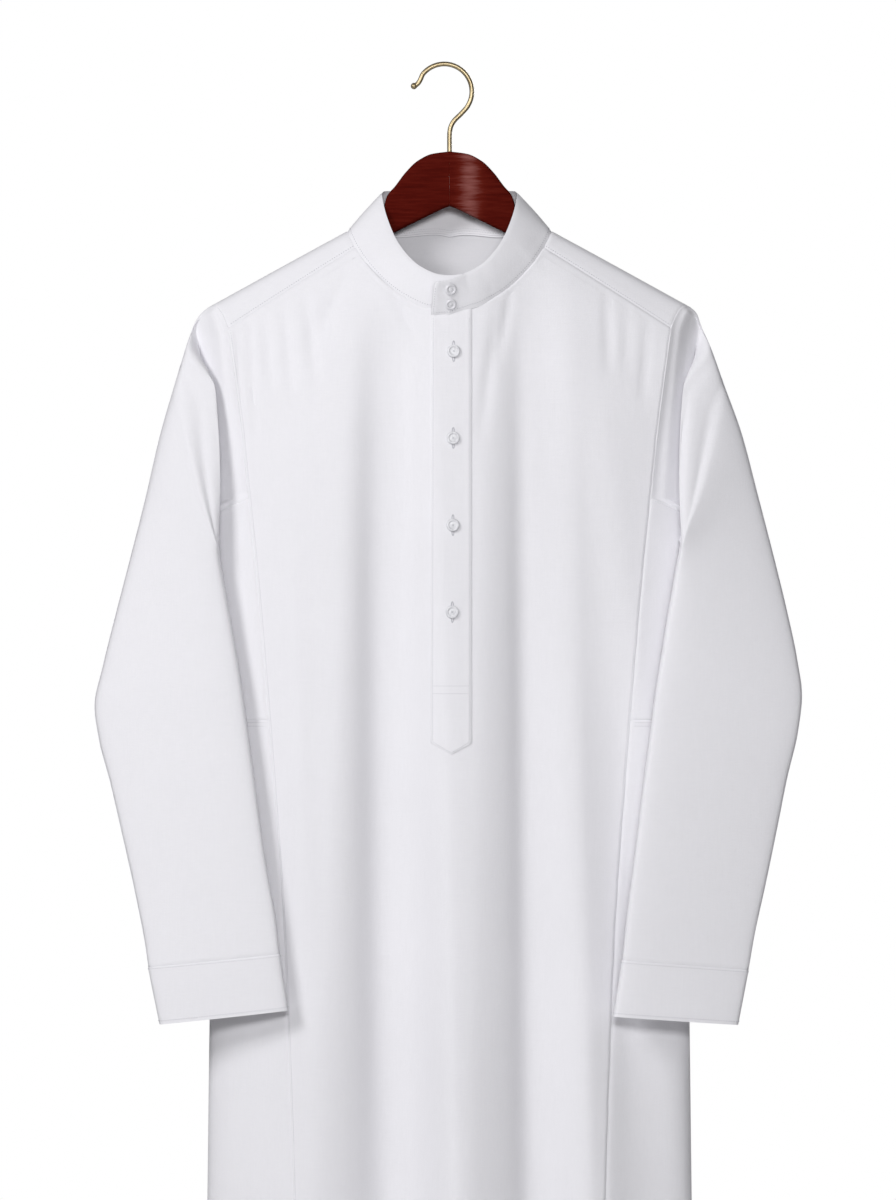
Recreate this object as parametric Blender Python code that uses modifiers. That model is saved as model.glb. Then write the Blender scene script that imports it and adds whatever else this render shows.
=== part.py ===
"""A thobe robe hanging on a wooden hanger.

Every length is in millimetres and becomes metres where a mesh is made.  The origin
is the inside of the hook's crest, where the rail sits.  X runs to the wearer's left,
-Y is the front and +Z is up; "down" is the distance below the origin.
The cloth is one smooth body form, read by the front, back, yoke and side panels, with
a tube for each sleeve that starts on the armhole and ends in its cuff.
"""
import math

import bmesh
import bpy
import numpy as np
from mathutils import Matrix, Vector

MM = 0.001
CLOTH = 1.5                 # wall of every cloth piece
GAP = 0.3                   # between pieces that meet
RIGHT, LEFT = -1, 1         # the wearer's sides
FRONT, BACK = -1, 1

# shoulder ridge, and the half depth of the body below it
RIDGE_DOWN = 117.7
RIDGE_SLOPE = 0.559
RIDGE_ROUND = 30.0
TIP_X = 230.0
SHOULDER_DROP = 190.0       # below this the body's sides close like an ellipse
GIRTH = (
    # drop below the ridge, half depth
    (0, 0.0), (4, 8.0), (20, 16.0), (45, 26.0), (80, 34.5), (120, 41.0), (200, 46.0),
    (400, 49.0), (800, 54.0), (1100, 61.0), (1500, 74.0),
)
TRIM = (
    # down, half width of the body, x of the long seam
    (252, 270.0, 212.0), (300, 262.0, 205.3), (350, 250.0, 198.8), (415, 236.0, 192.0),
    (436, 232.0, 189.8), (482, 231.0, 185.0), (602, 229.0, 174.7), (685, 229.0, 168.2),
    (828, 229.5, 158.2), (953, 231.0, 153.0), (1080, 232.5, 149.0), (1350, 236.0, 146.5),
    (1617, 240.0, 146.0),
)
HEM_DOWN = 1617.0
FRONT_CORNER_DOWN = 252.0   # yoke seam meets the armhole in front
BACK_CORNER_DOWN = 262.0    # and behind
ARM_CORNER_DOWN = 415.0     # armhole meets the underarm seam
UNDERARM_DIP = 21.0         # how far the underarm seam falls to the body's side
UNDERARM_ROUND = 1.5        # power of its curve
FAN_EASE = 1.5              # power by which the front's rows turn level below its top edge
BACK_CORNER_TURN = 105.0    # angle round the neck that faces the yoke's back corner
SIDE_SEAM_DOWN = 627.0      # upper side panel meets the lower one
YOKE_SEAM = (
    # x, drop below the ridge of the front yoke seam
    (90.0, 20.6), (212.0, 31.4),
)

# each fold at its top and at the hem: where it lies and how far it spreads each way
FRONT_FOLDS = (
    # x, x at the hem, to the right, at the hem, to the left, at the hem, starts down, depth
    (-68, -56, 29, 106, 27, 52, 225, -25.0), (62, 76, 33, 96, 33, 46, 190, -19.0),
    (112, 152, 30, 50, 30, 42, 300, -11.0), (-150, -134, 38, 38, 38, 34, 800, 4.0),
    (4, 6, 34, 30, 34, 30, 420, 4.0),
)
BACK_FOLDS = (
    (-90, -104, 30, 74, 30, 54, 300, -19.0), (6, -8, 28, 70, 28, 48, 360, -17.0),
    (82, 98, 32, 76, 32, 52, 320, -20.0), (-44, -50, 44, 44, 44, 44, 500, 4.0),
    (46, 44, 40, 40, 40, 40, 560, 4.0),
)
FOLD_GROWTH = 0.55          # power by which a fold deepens down its length
FOLD_FADE = 1.4             # folds die away towards the side folds of the body

# neck seam and collar, by the angle round the neck from the front centre
NECK_HALF = 97.5
NECK = (
    # angle, root of the drop below the ridge (negative in front)
    (0, -10.9), (12, -10.6), (26, -9.65), (38, -8.5), (55, -6.4), (70, -4.1), (80, -2.2),
    (90, 0.0), (100, 1.6), (115, 2.75), (135, 4.1), (155, 5.55), (180, 6.5),
)
COLLAR_TOP = (
    # angle, x, down, y on the right side, y on the left
    (0, 0.0, 203.5, -45.0, -45.0), (8, 9.5, 202.5, -44.2, -44.8), (26, 28.8, 194.0, -38.8, -43.0),
    (42, 43.8, 179.5, -30.0, -38.5), (56, 54.4, 162.0, -21.0, -31.5),
    (74, 63.3, 137.0, -10.4, -17.5), (90, 65.8, 123.5, 0.0, -1.5), (107, 63.5, 119.2, 9.5, 9.0),
    (135, 47.5, 118.0, 21.5, 21.5), (160, 23.0, 117.6, 28.0, 28.0), (180, 0.0, 117.5, 29.5, 29.5),
)
TAB_LEFT_X, TAB_RIGHT_X = -17.8, 21.0
TAB_LIFT = CLOTH + 2 * GAP  # the tab lies over the other end of the collar
TAB_TILT = 6.0              # its free upper corner stands out by so much more
TAB_DROOP = 6.0             # its free corner hangs lower
TAB_RAMP = 14.0              # degrees over which the tab rises onto that end
UNDER_END_X = 17.0
COLLAR_BOW = 1.5
COLLAR_SEAT = 0.02          # share of its height at which the collar's lower edge starts

PLACKET_LEFT, PLACKET_RIGHT = -17.6, 20.8
PLACKET_CORNER_DOWN, PLACKET_TIP_DOWN = 648.6, 659.0
PLACKET_SEAT = 0.4
PLACKET_CLEAR = 0.75        # from the collar's lower edge
PLACKET_ROWS = 20
BUTTON_SEAT, SNAP_SEAT = 0.35, 0.6
BUTTONS = (
    # x, down
    (3.9, 275.8), (3.5, 358.3), (3.2, 441.2), (2.6, 523.8),
)
SNAPS = (
    # share of the collar's height, radius
    (0.70, 5.8), (0.27, 5.5),
)
SNAP_X = 1.3
FACE_STEP, FACE_SHARE = 4.5, 0.1    # how far apart a seat's face is measured
BUTTON_PROFILE = (
    # radius, height above the seat
    (0.0, 1.5), (3.2, 1.5), (4.1, 2.5), (5.2, 2.6), (6.05, 1.7), (5.2, 0.4), (3.0, 0.0), (0.0, 0.0),
)
SNAP_PROFILE = (
    # radius share, height above the seat
    (0.0, 0.9), (0.45, 0.9), (0.58, 1.7), (0.84, 1.7), (1.0, 1.0), (1.0, 0.0), (0.0, 0.0),
)

# sleeves, by ring: 0 on the armhole, 17 at the cuff seam, 18 at the cuff's edge
CUFF_RING, LAST_RING = 17, 18
SLEEVE_EDGES = {
    RIGHT: (
        # ring, outer x, outer down, inner x, inner down
        (0, 230.0, 230.6, 232.0, 436.0), (1, 235.5, 234.5, 237.5, 436.0),
        (2, 240.5, 239.5, 240.0, 438.5), (3, 245.4, 248.3, 237.0, 443.5),
        (4, 253.0, 271.0, 232.5, 449.0), (5, 263.5, 306.0, 226.0, 457.0),
        (6, 277.0, 353.0, 219.5, 468.0), (7, 291.5, 416.0, 217.0, 484.0),
        (8, 306.0, 474.0, 213.0, 505.0), (9, 318.5, 523.0, 208.5, 531.0),
        (10, 331.0, 574.0, 203.0, 562.0), (11, 339.0, 613.0, 197.5, 597.0),
        (12, 334.5, 646.0, 192.5, 633.0), (13, 326.0, 685.0, 187.0, 673.0),
        (14, 316.5, 729.0, 181.0, 718.0), (15, 304.0, 784.0, 174.0, 765.0),
        (16, 293.0, 840.0, 165.5, 815.0), (17, 288.6, 865.5, 160.9, 852.0),
        (18, 277.5, 920.0, 153.0, 906.0),
    ),
    LEFT: (
        (0, 230.0, 230.6, 232.0, 436.0), (1, 234.5, 234.0, 237.5, 436.0),
        (2, 238.0, 238.5, 240.0, 438.5), (3, 241.0, 248.0, 237.0, 444.0),
        (4, 251.0, 272.0, 232.5, 449.5), (5, 263.0, 306.0, 226.0, 458.0),
        (6, 279.5, 352.0, 218.5, 469.0), (7, 295.5, 413.0, 215.0, 486.0),
        (8, 311.0, 474.0, 211.5, 507.0), (9, 322.0, 520.0, 207.0, 532.0),
        (10, 332.0, 568.0, 202.0, 563.0), (11, 336.5, 603.0, 196.0, 600.0),
        (12, 332.5, 638.0, 191.0, 638.0), (13, 324.0, 682.0, 185.5, 678.0),
        (14, 315.0, 730.0, 180.0, 722.0), (15, 304.5, 781.0, 174.0, 769.0),
        (16, 293.5, 832.0, 168.0, 817.0), (17, 286.5, 868.0, 163.5, 858.0),
        (18, 276.4, 920.6, 155.4, 911.6),
    ),
}
SLEEVE_FORM = (
    # ring, outer y, inner y, front, back, bulge to the body, hold of the armhole, crease
    (0, 0, 0, 0, 0, 1, 1, 0), (1, 0, -4, 24, 24, 0.80, 0.8, 0), (2, 0, -9, 26, 24, 0.60, 0.45, 9),
    (3, 0, -15, 27, 24, 0.40, 0.05, 1), (4, -1, -20, 26, 23, 0.22, 0, 0),
    (5, -2, -24, 24, 22, 0.10, 0, 0), (6, -4, -26, 22, 20, 0.03, 0, 0),
    (7, -6, -27, 20, 18, 0, 0, 0), (8, -9, -29, 19, 17, 0, 0, 0), (9, -12, -31, 18, 16, 0, 0, 0),
    (10, -15, -33, 17.5, 15, 0, 0, 0), (11, -18, -36, 17, 14, 0, 0, 0),
    (12, -21, -38, 16.5, 13.5, 0, 0, 0), (13, -24, -41, 16, 13, 0, 0, 0),
    (14, -27, -44, 15, 12, 0, 0, 0), (15, -31, -47, 14, 11.5, 0, 0, 0),
    (16, -35, -50, 13, 11, 0, 0, 0), (17, -38, -52, 12, 10.5, 0, 0, 0),
    (18, -41, -54, 12, 10, 0, 0, 0),
)
BACK_TUCK = 0.60            # how much flatter a sleeve's back is near the body

# hanger
WOOD_HALF, WOOD_BEVEL = 6.0, 3.5
WOOD_BELL = (
    # x, down of the top edge of the middle
    (0, 81.7), (17, 84.1), (31, 91.0), (43, 103.3), (52, 116.0), (62, 135.0), (75, 149.5),
)
BELL_END_X, BELL_FOOT_X = 62.0, 68.0
WOOD_UNDER_DOWN, WOOD_UNDER_SLOPE = 133.5, 0.51
WOOD_UNDER_ROUND = 10.0
WOOD_UNDER_X = (210.0, 160.0, 110.0, 60.0, 30.0, 15.0, 7.0, 0.0)
ARM_START_X, WOOD_TIP_X = 78.0, 212.0
WOOD_TIP_ROUND = 0.7
WOOD_PAST = 12.0                  # each half is drawn past the joint, then cut there
WOOD_SEAT = CLOTH + GAP + 1.2     # its flat top lies this far under the ridge
WOOD_NECK_CLEAR = 2.2             # and lower still where the collar crosses it
WOOD_NECK_REACH = 30.0            # within this distance of that crossing
HOOK_WIRE = 2.3
HOOK_INNER = 24.2
HOOK_CENTRE_X = -5.1
HOOK_TURN = (-50.0, 122.0)        # degrees of its crest, from straight up
# x and z of the wire before its crest and after it
HOOK_TIP = ((-37.1, -19.9), (-34.2, -18.9), (-31.2, -17.2), (-29.1, -14.8), (-27.5, -11.7))
HOOK_NECK = ((14.2, -42.2), (9.8, -46.8), (5.1, -51.4), (1.8, -56.4), (0.3, -62.0))
HOOK_STEM_DOWN = 68.0
BORE_DEPTH = 24.0
BALL_TIP = (0.80, 1.30, 1.35, 1.05)     # swell of the wire at its first points

# how finely each piece is divided
NECK_COLUMNS, YOKE_COLUMNS, BACK_COLUMNS = 6, 6, 6
TIP_STEPS, ARM_STEPS, UNDERARM_STEPS = 4, 6, 8
UPPER_ROWS, LOWER_ROWS = 7, 19
SIDE_COLUMNS = 8
FAN_ROWS = 9


def smooth_between(keys, values, at):
    """Values along a monotone cubic through the rows, straight past the ends."""
    keys, values, at = (np.asarray(part, float) for part in (keys, values, at))
    steps = np.diff(keys)
    slopes = np.diff(values) / steps
    product, total = slopes[:-1] * slopes[1:], slopes[:-1] + slopes[1:]
    inner = np.where(product > 0, 2 * product / np.where(total == 0, 1, total), 0)
    tangents = np.concatenate((slopes[:1], inner, slopes[-1:]))
    span = np.clip(np.searchsorted(keys, at) - 1, 0, len(steps) - 1)
    step = steps[span]
    share = (at - keys[span]) / step
    t = np.clip(share, 0, 1)
    cubic = (values[span] * (1 + 2 * t) * (1 - t) ** 2
             + values[span + 1] * t * t * (3 - 2 * t)
             + step * tangents[span] * t * (1 - t) ** 2
             - step * tangents[span + 1] * t * t * (1 - t))
    ends = np.where(share > 1, tangents[-1], tangents[0])
    return cubic + (share - t) * step * ends


def column(table, number, at):
    """One column of a table, read at a value of its first column."""
    rows = np.array(table, float)
    return smooth_between(rows[:, 0], rows[:, number], at)


def half_width(down):
    return column(TRIM, 1, down)


def seam_x(down):
    """Distance of the long seam, and of the armhole above it, from the centre."""
    return column(TRIM, 2, down)


def ridge_down(x):
    return RIDGE_DOWN + RIDGE_SLOPE * (np.hypot(x, RIDGE_ROUND) - RIDGE_ROUND)


def depth_squared(x, down):
    """Square of the body's half depth, which reaches zero at the ridge and the sides."""
    rows = np.array(GIRTH, float)
    drop = down - ridge_down(x)
    along = smooth_between(rows[:, 0], rows[:, 1] ** 2, drop)
    narrowing = 1 - (1 - np.clip(drop / SHOULDER_DROP, 0, 1)) ** 3
    return along * (1 - narrowing * (x / half_width(down)) ** 2)


def folds(x, down, face):
    """How far the hanging folds stand out of the body's even form."""
    out = np.zeros(np.broadcast(x, down).shape)
    for (top_x, hem_x, right, hem_right, left, hem_left, start, depth
         ) in FRONT_FOLDS if face == FRONT else BACK_FOLDS:
        share = np.clip((down - start) / (HEM_DOWN - start), 0, 1)
        offset = x - top_x - (hem_x - top_x) * share
        spread = np.where(offset < 0, right + (hem_right - right) * share,
                          left + (hem_left - left) * share)
        across = np.clip(offset / spread, -1, 1)
        out = out + depth * share ** FOLD_GROWTH * np.cos(across * math.pi / 2) ** 2
    return out * np.clip(FOLD_FADE * (1 - (x / half_width(down)) ** 4), 0, 1)


def body(x, down, face, out=0.0):
    """Points on the body, moved out along its normal; face tells front from back."""
    x, down, face = np.broadcast_arrays(np.asarray(x, float), down, face)
    reach = 0.5
    root = np.sqrt(np.clip(depth_squared(x, down), 0, None))
    lift = np.where(face == FRONT, folds(x, down, FRONT), folds(x, down, BACK))

    def slope(dx, ddown):
        square = depth_squared(x + dx, down + ddown) - depth_squared(x - dx, down - ddown)
        rise = [folds(x + dx, down + ddown, side) - folds(x - dx, down - ddown, side)
                for side in (FRONT, BACK)]
        return (square + 2 * root * np.where(face == FRONT, *rise)) / (2 * reach)

    normal = np.stack((-slope(reach, 0), 2 * face * root, slope(0, reach)), -1)
    normal /= np.linalg.norm(normal, axis=-1, keepdims=True)
    points = np.stack((x, face * (root + lift), -down), -1)
    return points + normal * out


def shoulder(x, root, out=0.0):
    """Points on the body by the root of the drop below the ridge, negative in front."""
    x, root = np.broadcast_arrays(np.asarray(x, float), root)
    return body(x, ridge_down(x) + root ** 2, np.where(root < 0, FRONT, BACK), out)


def body_wall(x, down, face):
    """Outer and inner points of a cloth wall on the body."""
    return body(x, down, face), body(x, down, face, -CLOTH)


def steps(start, end, count):
    return np.linspace(start, end, count + 1)


# ---------------------------------------------------------------- seam lines

def neck_root(angle):
    """Root of the drop along the neck seam; the ring is even about the centre."""
    return column(NECK, 1, np.abs(angle))


def neck_x(angle):
    return NECK_HALF * np.sin(np.radians(angle))


def yoke_seam_root(x):
    (near, near_drop), (far, far_drop) = YOKE_SEAM
    share = (np.abs(x) - near) / (far - near)
    return -(math.sqrt(near_drop) + (math.sqrt(far_drop) - math.sqrt(near_drop)) * share)


def tip_edge(corner_down, face, count):
    """Yoke and sleeve seam from the shoulder's tip down to a corner."""
    corner_x = float(seam_x(corner_down))
    share = steps(0, 1, count)
    x = TIP_X + (corner_x - TIP_X) * share
    root = face * math.sqrt(corner_down - ridge_down(corner_x)) * share
    return x, ridge_down(x) + root ** 2, np.full(count + 1, face)


def turn_at_seam(down, spare=0.0):
    """Angle round the body's side at which the long seam lies."""
    return np.arccos((seam_x(down) + spare) / half_width(down))


def underarm(share):
    """Seam under the arm; share runs from -1 in front through 0 at the side to 1 behind."""
    down = ARM_CORNER_DOWN + UNDERARM_DIP * (1 - np.abs(share) ** UNDERARM_ROUND)
    x = half_width(down) * np.cos(share * turn_at_seam(down))
    return x, down, np.where(share < 0, FRONT, BACK)


ARM_FRONT = steps(FRONT_CORNER_DOWN, ARM_CORNER_DOWN, ARM_STEPS)
ARM_BACK = steps(BACK_CORNER_DOWN, ARM_CORNER_DOWN, ARM_STEPS)
UPPER = steps(ARM_CORNER_DOWN, SIDE_SEAM_DOWN, UPPER_ROWS)
LOWER = steps(SIDE_SEAM_DOWN, HEM_DOWN, LOWER_ROWS)


# ---------------------------------------------------------------- meshes

def new_object(name, mesh, material, parts):
    mesh.materials.append(material)
    thing = bpy.data.objects.new(name, mesh)
    parts.objects.link(thing)
    mesh.shade_smooth()
    mesh.set_sharp_from_angle(angle=math.radians(40))
    return thing


def wall(name, outer, inner, material, parts, ring=False):
    """A cloth wall between two grids of points, open or closed round its columns."""
    rows, columns = outer.shape[:2]
    count = rows * columns
    points = np.concatenate((outer.reshape(-1, 3), inner.reshape(-1, 3))) * MM
    last = columns if ring else columns - 1
    faces = []

    def at(row, place, side):
        return side * count + row * columns + place % columns

    for place in range(last):
        for row in range(rows - 1):
            for side in (0, 1):
                faces.append((at(row, place, side), at(row, place + 1, side),
                              at(row + 1, place + 1, side), at(row + 1, place, side)))
        for row in (0, rows - 1):
            faces.append((at(row, place, 0), at(row, place + 1, 0),
                          at(row, place + 1, 1), at(row, place, 1)))
    if not ring:
        for place in (0, columns - 1):
            for row in range(rows - 1):
                faces.append((at(row, place, 0), at(row + 1, place, 0),
                              at(row + 1, place, 1), at(row, place, 1)))
    mesh = bpy.data.meshes.new(name)
    mesh.from_pydata([tuple(point) for point in points], [], faces)
    shape = bmesh.new()
    shape.from_mesh(mesh)
    bmesh.ops.recalc_face_normals(shape, faces=shape.faces)
    shape.to_mesh(mesh)
    shape.free()
    return new_object(name, mesh, material, parts)


def turned(name, profile, steps_round, place, normal, material, parts):
    """A round piece turned from its profile, seated on a face with the given normal."""
    curve = bpy.data.meshes.new(name)
    curve.from_pydata([(radius * MM, 0, height * MM) for radius, height in profile],
                      [(i, i + 1) for i in range(len(profile) - 1)], [])
    thing = new_object(name, curve, material, parts)
    screw = thing.modifiers.new("turn", "SCREW")
    screw.steps = screw.render_steps = steps_round
    screw.use_merge_vertices = True
    screw.merge_threshold = 0.00001
    thing.matrix_world = (Matrix.Translation(Vector(place) * MM)
                          @ Vector(normal).to_track_quat("Z", "Y").to_matrix().to_4x4())
    return thing


# ---------------------------------------------------------------- body panels

def front_rows():
    """Outer grid of x and down for the front, whose top follows the neck and the yoke."""
    near = YOKE_SEAM[0][0]
    far = float(seam_x(FRONT_CORNER_DOWN))
    right_half = np.concatenate((steps(0, near, NECK_COLUMNS), steps(near, far, YOKE_COLUMNS)[1:]))
    top_x = np.concatenate((-right_half[:0:-1], right_half))
    angle = np.degrees(np.arcsin(np.clip(np.abs(top_x) / NECK_HALF, 0, 1)))
    in_neck = np.abs(top_x) < near - 0.01
    root = np.where(in_neck, neck_root(angle), yoke_seam_root(top_x))
    top = ridge_down(top_x) + root ** 2 + np.where(in_neck, 0, GAP)
    down = np.concatenate((ARM_FRONT, UPPER[1:], LOWER[1:]))
    fade = np.clip(1 - np.arange(len(down)) / FAN_ROWS, 0, 1) ** FAN_EASE
    downs = down[:, None] + (top - FRONT_CORNER_DOWN)[None, :] * fade[:, None]
    edge = seam_x(np.maximum(down, FRONT_CORNER_DOWN)) - GAP / 2
    return edge[:, None] * (top_x / far)[None, :], downs


def build_front(material, parts):
    x, down = front_rows()
    outer, inner = body_wall(x, down, FRONT)
    wall("front", outer, inner, material, parts)
    return outer


def build_back(material, parts):
    down = np.concatenate((ARM_BACK, UPPER[1:], LOWER[1:]))
    across = steps(-1, 1, 2 * BACK_COLUMNS)
    x = (seam_x(down) - GAP / 2)[:, None] * across[None, :]
    down = down[:, None] + np.zeros_like(x)
    down[0] += GAP
    wall("back", *body_wall(x, down, BACK), material, parts)


def build_yoke(material, parts):
    """Strips from the neck seam out to the armholes, the tips and the back yoke seam."""
    corner_x = float(seam_x(BACK_CORNER_DOWN))
    start = math.degrees(math.asin(YOKE_SEAM[0][0] / NECK_HALF))
    angles = np.concatenate((steps(start, 90, TIP_STEPS),
                             steps(90, BACK_CORNER_TURN, TIP_STEPS)[1:],
                             steps(BACK_CORNER_TURN, 180, BACK_COLUMNS)[1:]))
    front_x, front_down, _ = tip_edge(FRONT_CORNER_DOWN, FRONT, TIP_STEPS)
    back_x, back_down, _ = tip_edge(BACK_CORNER_DOWN, BACK, TIP_STEPS)
    seam = steps(corner_x, 0, BACK_COLUMNS)[1:]
    edge_x = np.concatenate((front_x[::-1], back_x[1:], seam))
    edge_root = np.concatenate((
        -np.sqrt(front_down - ridge_down(front_x))[::-1],
        np.sqrt(back_down - ridge_down(back_x))[1:],
        np.sqrt(BACK_CORNER_DOWN - ridge_down(seam))))
    inner_x, inner_root = neck_x(angles), neck_root(angles)
    share = steps(0, 1, YOKE_COLUMNS)[:, None]
    x = inner_x + (edge_x - inner_x) * share
    root = inner_root + (edge_root - inner_root) * share
    x = np.concatenate((x, -x[:, -2::-1]), axis=1)
    root = np.concatenate((root, root[:, -2::-1]), axis=1)
    wall("yoke", shoulder(x, root), shoulder(x, root, -CLOTH), material, parts)


def side_grid(downs, side):
    """Points round the body's side at each row of downs, from front seam to back seam."""
    share = steps(-1, 1, SIDE_COLUMNS)[None, :]
    x = half_width(downs) * np.cos(share * turn_at_seam(downs, GAP / 2))
    return side * x, downs, np.where(share < 0, FRONT, BACK) + np.zeros_like(downs, int)


def build_sides(material, parts):
    share = steps(-1, 1, SIDE_COLUMNS)
    _, arm_down, _ = underarm(share)
    flat = np.zeros(SIDE_COLUMNS + 1)
    fade = np.clip(1 - np.arange(UPPER_ROWS + 1) / UPPER_ROWS, 0, 1)[:, None]
    upper = UPPER[:, None] + (arm_down - ARM_CORNER_DOWN)[None, :] * fade
    lower = LOWER[:, None] + flat[None, :]
    upper[0] += GAP
    lower[0] += GAP
    for side, word in ((RIGHT, "right"), (LEFT, "left")):
        wall(f"side_upper_{word}", *body_wall(*side_grid(upper, side)), material, parts)
        wall(f"side_lower_{word}", *body_wall(*side_grid(lower, side)), material, parts)


# ---------------------------------------------------------------- sleeves

def armhole_ring():
    """Armhole from the tip down the front, under the arm and up the back."""
    front = tip_edge(FRONT_CORNER_DOWN, FRONT, TIP_STEPS)
    back = tip_edge(BACK_CORNER_DOWN, BACK, TIP_STEPS)
    below = underarm(steps(-1, 1, UNDERARM_STEPS))
    pieces = (
        front,
        (seam_x(ARM_FRONT[1:-1]), ARM_FRONT[1:-1], np.full(ARM_STEPS - 1, FRONT)),
        below,
        (seam_x(ARM_BACK[-2:0:-1]), ARM_BACK[-2:0:-1], np.full(ARM_STEPS - 1, BACK)),
        tuple(part[:0:-1] for part in back),
    )
    return (np.concatenate(parts) for parts in zip(*pieces))


def sleeve_points(rings, side):
    """Outer points of a sleeve at the given rings."""
    arm_x, arm_down, face = armhole_ring()
    armhole = body(arm_x, arm_down, face)
    bottom = TIP_STEPS + ARM_STEPS + UNDERARM_STEPS // 2
    line = (armhole[bottom] - armhole[0])[[0, 2]]
    length = np.hypot(*line)
    line = line / length
    offset = (armhole - armhole[0])[:, [0, 2]]
    along = offset @ line / length
    bulge = offset @ np.array((line[1], -line[0]))
    front = np.arange(len(arm_x)) <= bottom
    round_off = np.sqrt(np.clip(4 * along * (1 - along), 0, 1))
    edges = np.array(SLEEVE_EDGES[side], float)
    grid = []
    for ring in rings:
        outer_x, outer_down, inner_x, inner_down = (column(edges, i, ring) for i in (1, 2, 3, 4))
        outer_y, inner_y, fore, aft, swell, hold, crease = (
            column(SLEEVE_FORM, i, ring) for i in range(1, 8))
        chord = np.array((inner_x - outer_x, outer_down - inner_down))
        across = np.array((chord[1], -chord[0])) / np.hypot(*chord)
        reach = bulge * np.where(front, swell, swell ** 2)
        x = outer_x + chord[0] * along + across[0] * reach
        z = -outer_down + chord[1] * along + across[1] * reach
        thick = np.where(front, (crease - fore) * round_off,
                         aft * round_off * (1 - BACK_TUCK * along ** 2))
        y = outer_y + (inner_y - outer_y) * along + thick
        y = hold * armhole[:, 1] + (1 - hold) * y
        if ring == 0:
            x, y, z = armhole.T
        grid.append(np.stack((side * x, y, z), -1))
    return np.array(grid)


def grid_normals(grid, side):
    """Outward normals of a tube's grid of rings."""
    along = np.gradient(grid, axis=0)
    around = np.roll(grid, -1, axis=1) - np.roll(grid, 1, axis=1)
    normal = side * np.cross(along, around)
    return normal / np.linalg.norm(normal, axis=-1, keepdims=True)


def build_sleeves(material, parts):
    for side, word in ((RIGHT, "right"), (LEFT, "left")):
        grid = sleeve_points(np.arange(LAST_RING + 1), side)
        step = grid[1] - grid[0]
        grid[0] += step * GAP / np.linalg.norm(step, axis=-1, keepdims=True)
        inner = grid - grid_normals(grid, side) * CLOTH
        seam = CUFF_RING + 1
        wall(f"sleeve_{word}", grid[:seam], inner[:seam], material, parts, ring=True)
        step = grid[-1] - grid[-2]
        away = step * GAP / np.linalg.norm(step, axis=-1, keepdims=True)
        outer, lining = grid[CUFF_RING:].copy(), inner[CUFF_RING:].copy()
        outer[0] += away
        lining[0] += away
        wall(f"cuff_{word}", outer, lining, material, parts, ring=True)


# ---------------------------------------------------------------- collar and placket

def collar_point(angle, height, out=0.0):
    """Points on the collar by the angle round the neck and the share of its height."""
    turn = np.abs((angle + 180) % 360 - 180)
    sign = np.where((angle + 180) % 360 - 180 < 0, -1, 1)
    base = shoulder(neck_x(turn), neck_root(turn), np.asarray(out)[..., None])
    x, down, right_y, left_y = (column(COLLAR_TOP, i, turn) for i in (1, 2, 3, 4))
    top = np.stack((x, np.where(sign < 0, right_y, left_y), -down), -1)
    outward = np.stack((np.sin(np.radians(turn)), -np.cos(np.radians(turn)), turn * 0), -1)
    top = top + outward * np.asarray(out)[..., None]
    height = np.asarray(height)[..., None]
    points = base + (top - base) * height + outward * COLLAR_BOW * np.sin(math.pi * height)
    points[..., 0] *= sign
    return points


def collar_wall(angle, height):
    """Outer and inner points of the collar, whose tab end lies over its other end."""
    start = -360 + math.degrees(math.asin(TAB_RIGHT_X / NECK_HALF))
    end = -360 + math.degrees(math.asin(TAB_LEFT_X / NECK_HALF))
    reach = np.clip((start - angle) / (start - end), 0, 1)
    lift = TAB_LIFT * np.clip((start + TAB_RAMP - angle) / TAB_RAMP, 0, 1) + TAB_TILT * reach * height
    droop = TAB_DROOP * reach
    sides = collar_point(angle, height, lift), collar_point(angle, height, lift - CLOTH)
    for points in sides:
        points[..., 2] -= droop
    return sides


def collar_angles():
    """From the end that lies under, round the back, to the end of the tab that lies over."""
    half = np.degrees(np.arcsin(steps(0, YOKE_SEAM[0][0], NECK_COLUMNS) / NECK_HALF))
    ring = np.concatenate((half, steps(half[-1], 90, TIP_STEPS)[1:],
                           steps(90, BACK_CORNER_TURN, TIP_STEPS)[1:],
                           steps(BACK_CORNER_TURN, 180, BACK_COLUMNS)[1:]))
    under = math.degrees(math.asin(UNDER_END_X / NECK_HALF))
    over = math.degrees(math.asin(-TAB_LEFT_X / NECK_HALF))
    return np.concatenate(([under, under / 2], -ring, ring[-2::-1] - 360,
                           [-360 - over / 2, -360 - over]))


def build_collar(material, parts):
    angle = collar_angles()[None, :]
    height = np.concatenate(([COLLAR_SEAT], steps(0, 1, 3)[1:]))[:, None]
    wall("collar", *collar_wall(*np.broadcast_arrays(angle, height)), material, parts)


def facing(points):
    """Normal, towards the front, of a face through three points."""
    normal = np.cross(points[1] - points[0], points[2] - points[0])
    normal = normal / np.linalg.norm(normal)
    return normal * -np.sign(normal[1])


def on_front(grid, x, down):
    """Depth of the front's own facets at a place near its centre."""
    downs = [np.interp(x, row[:, 0], -row[:, 2]) for row in grid]
    depths = [np.interp(x, row[:, 0], row[:, 1]) for row in grid]
    return float(np.interp(down, downs, depths))


def on_tab(x, share):
    """A point on the tab's outer face."""
    angle = np.array(-360 + math.degrees(math.asin(x / NECK_HALF)))
    return collar_wall(angle, np.array(share))[0]


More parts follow.
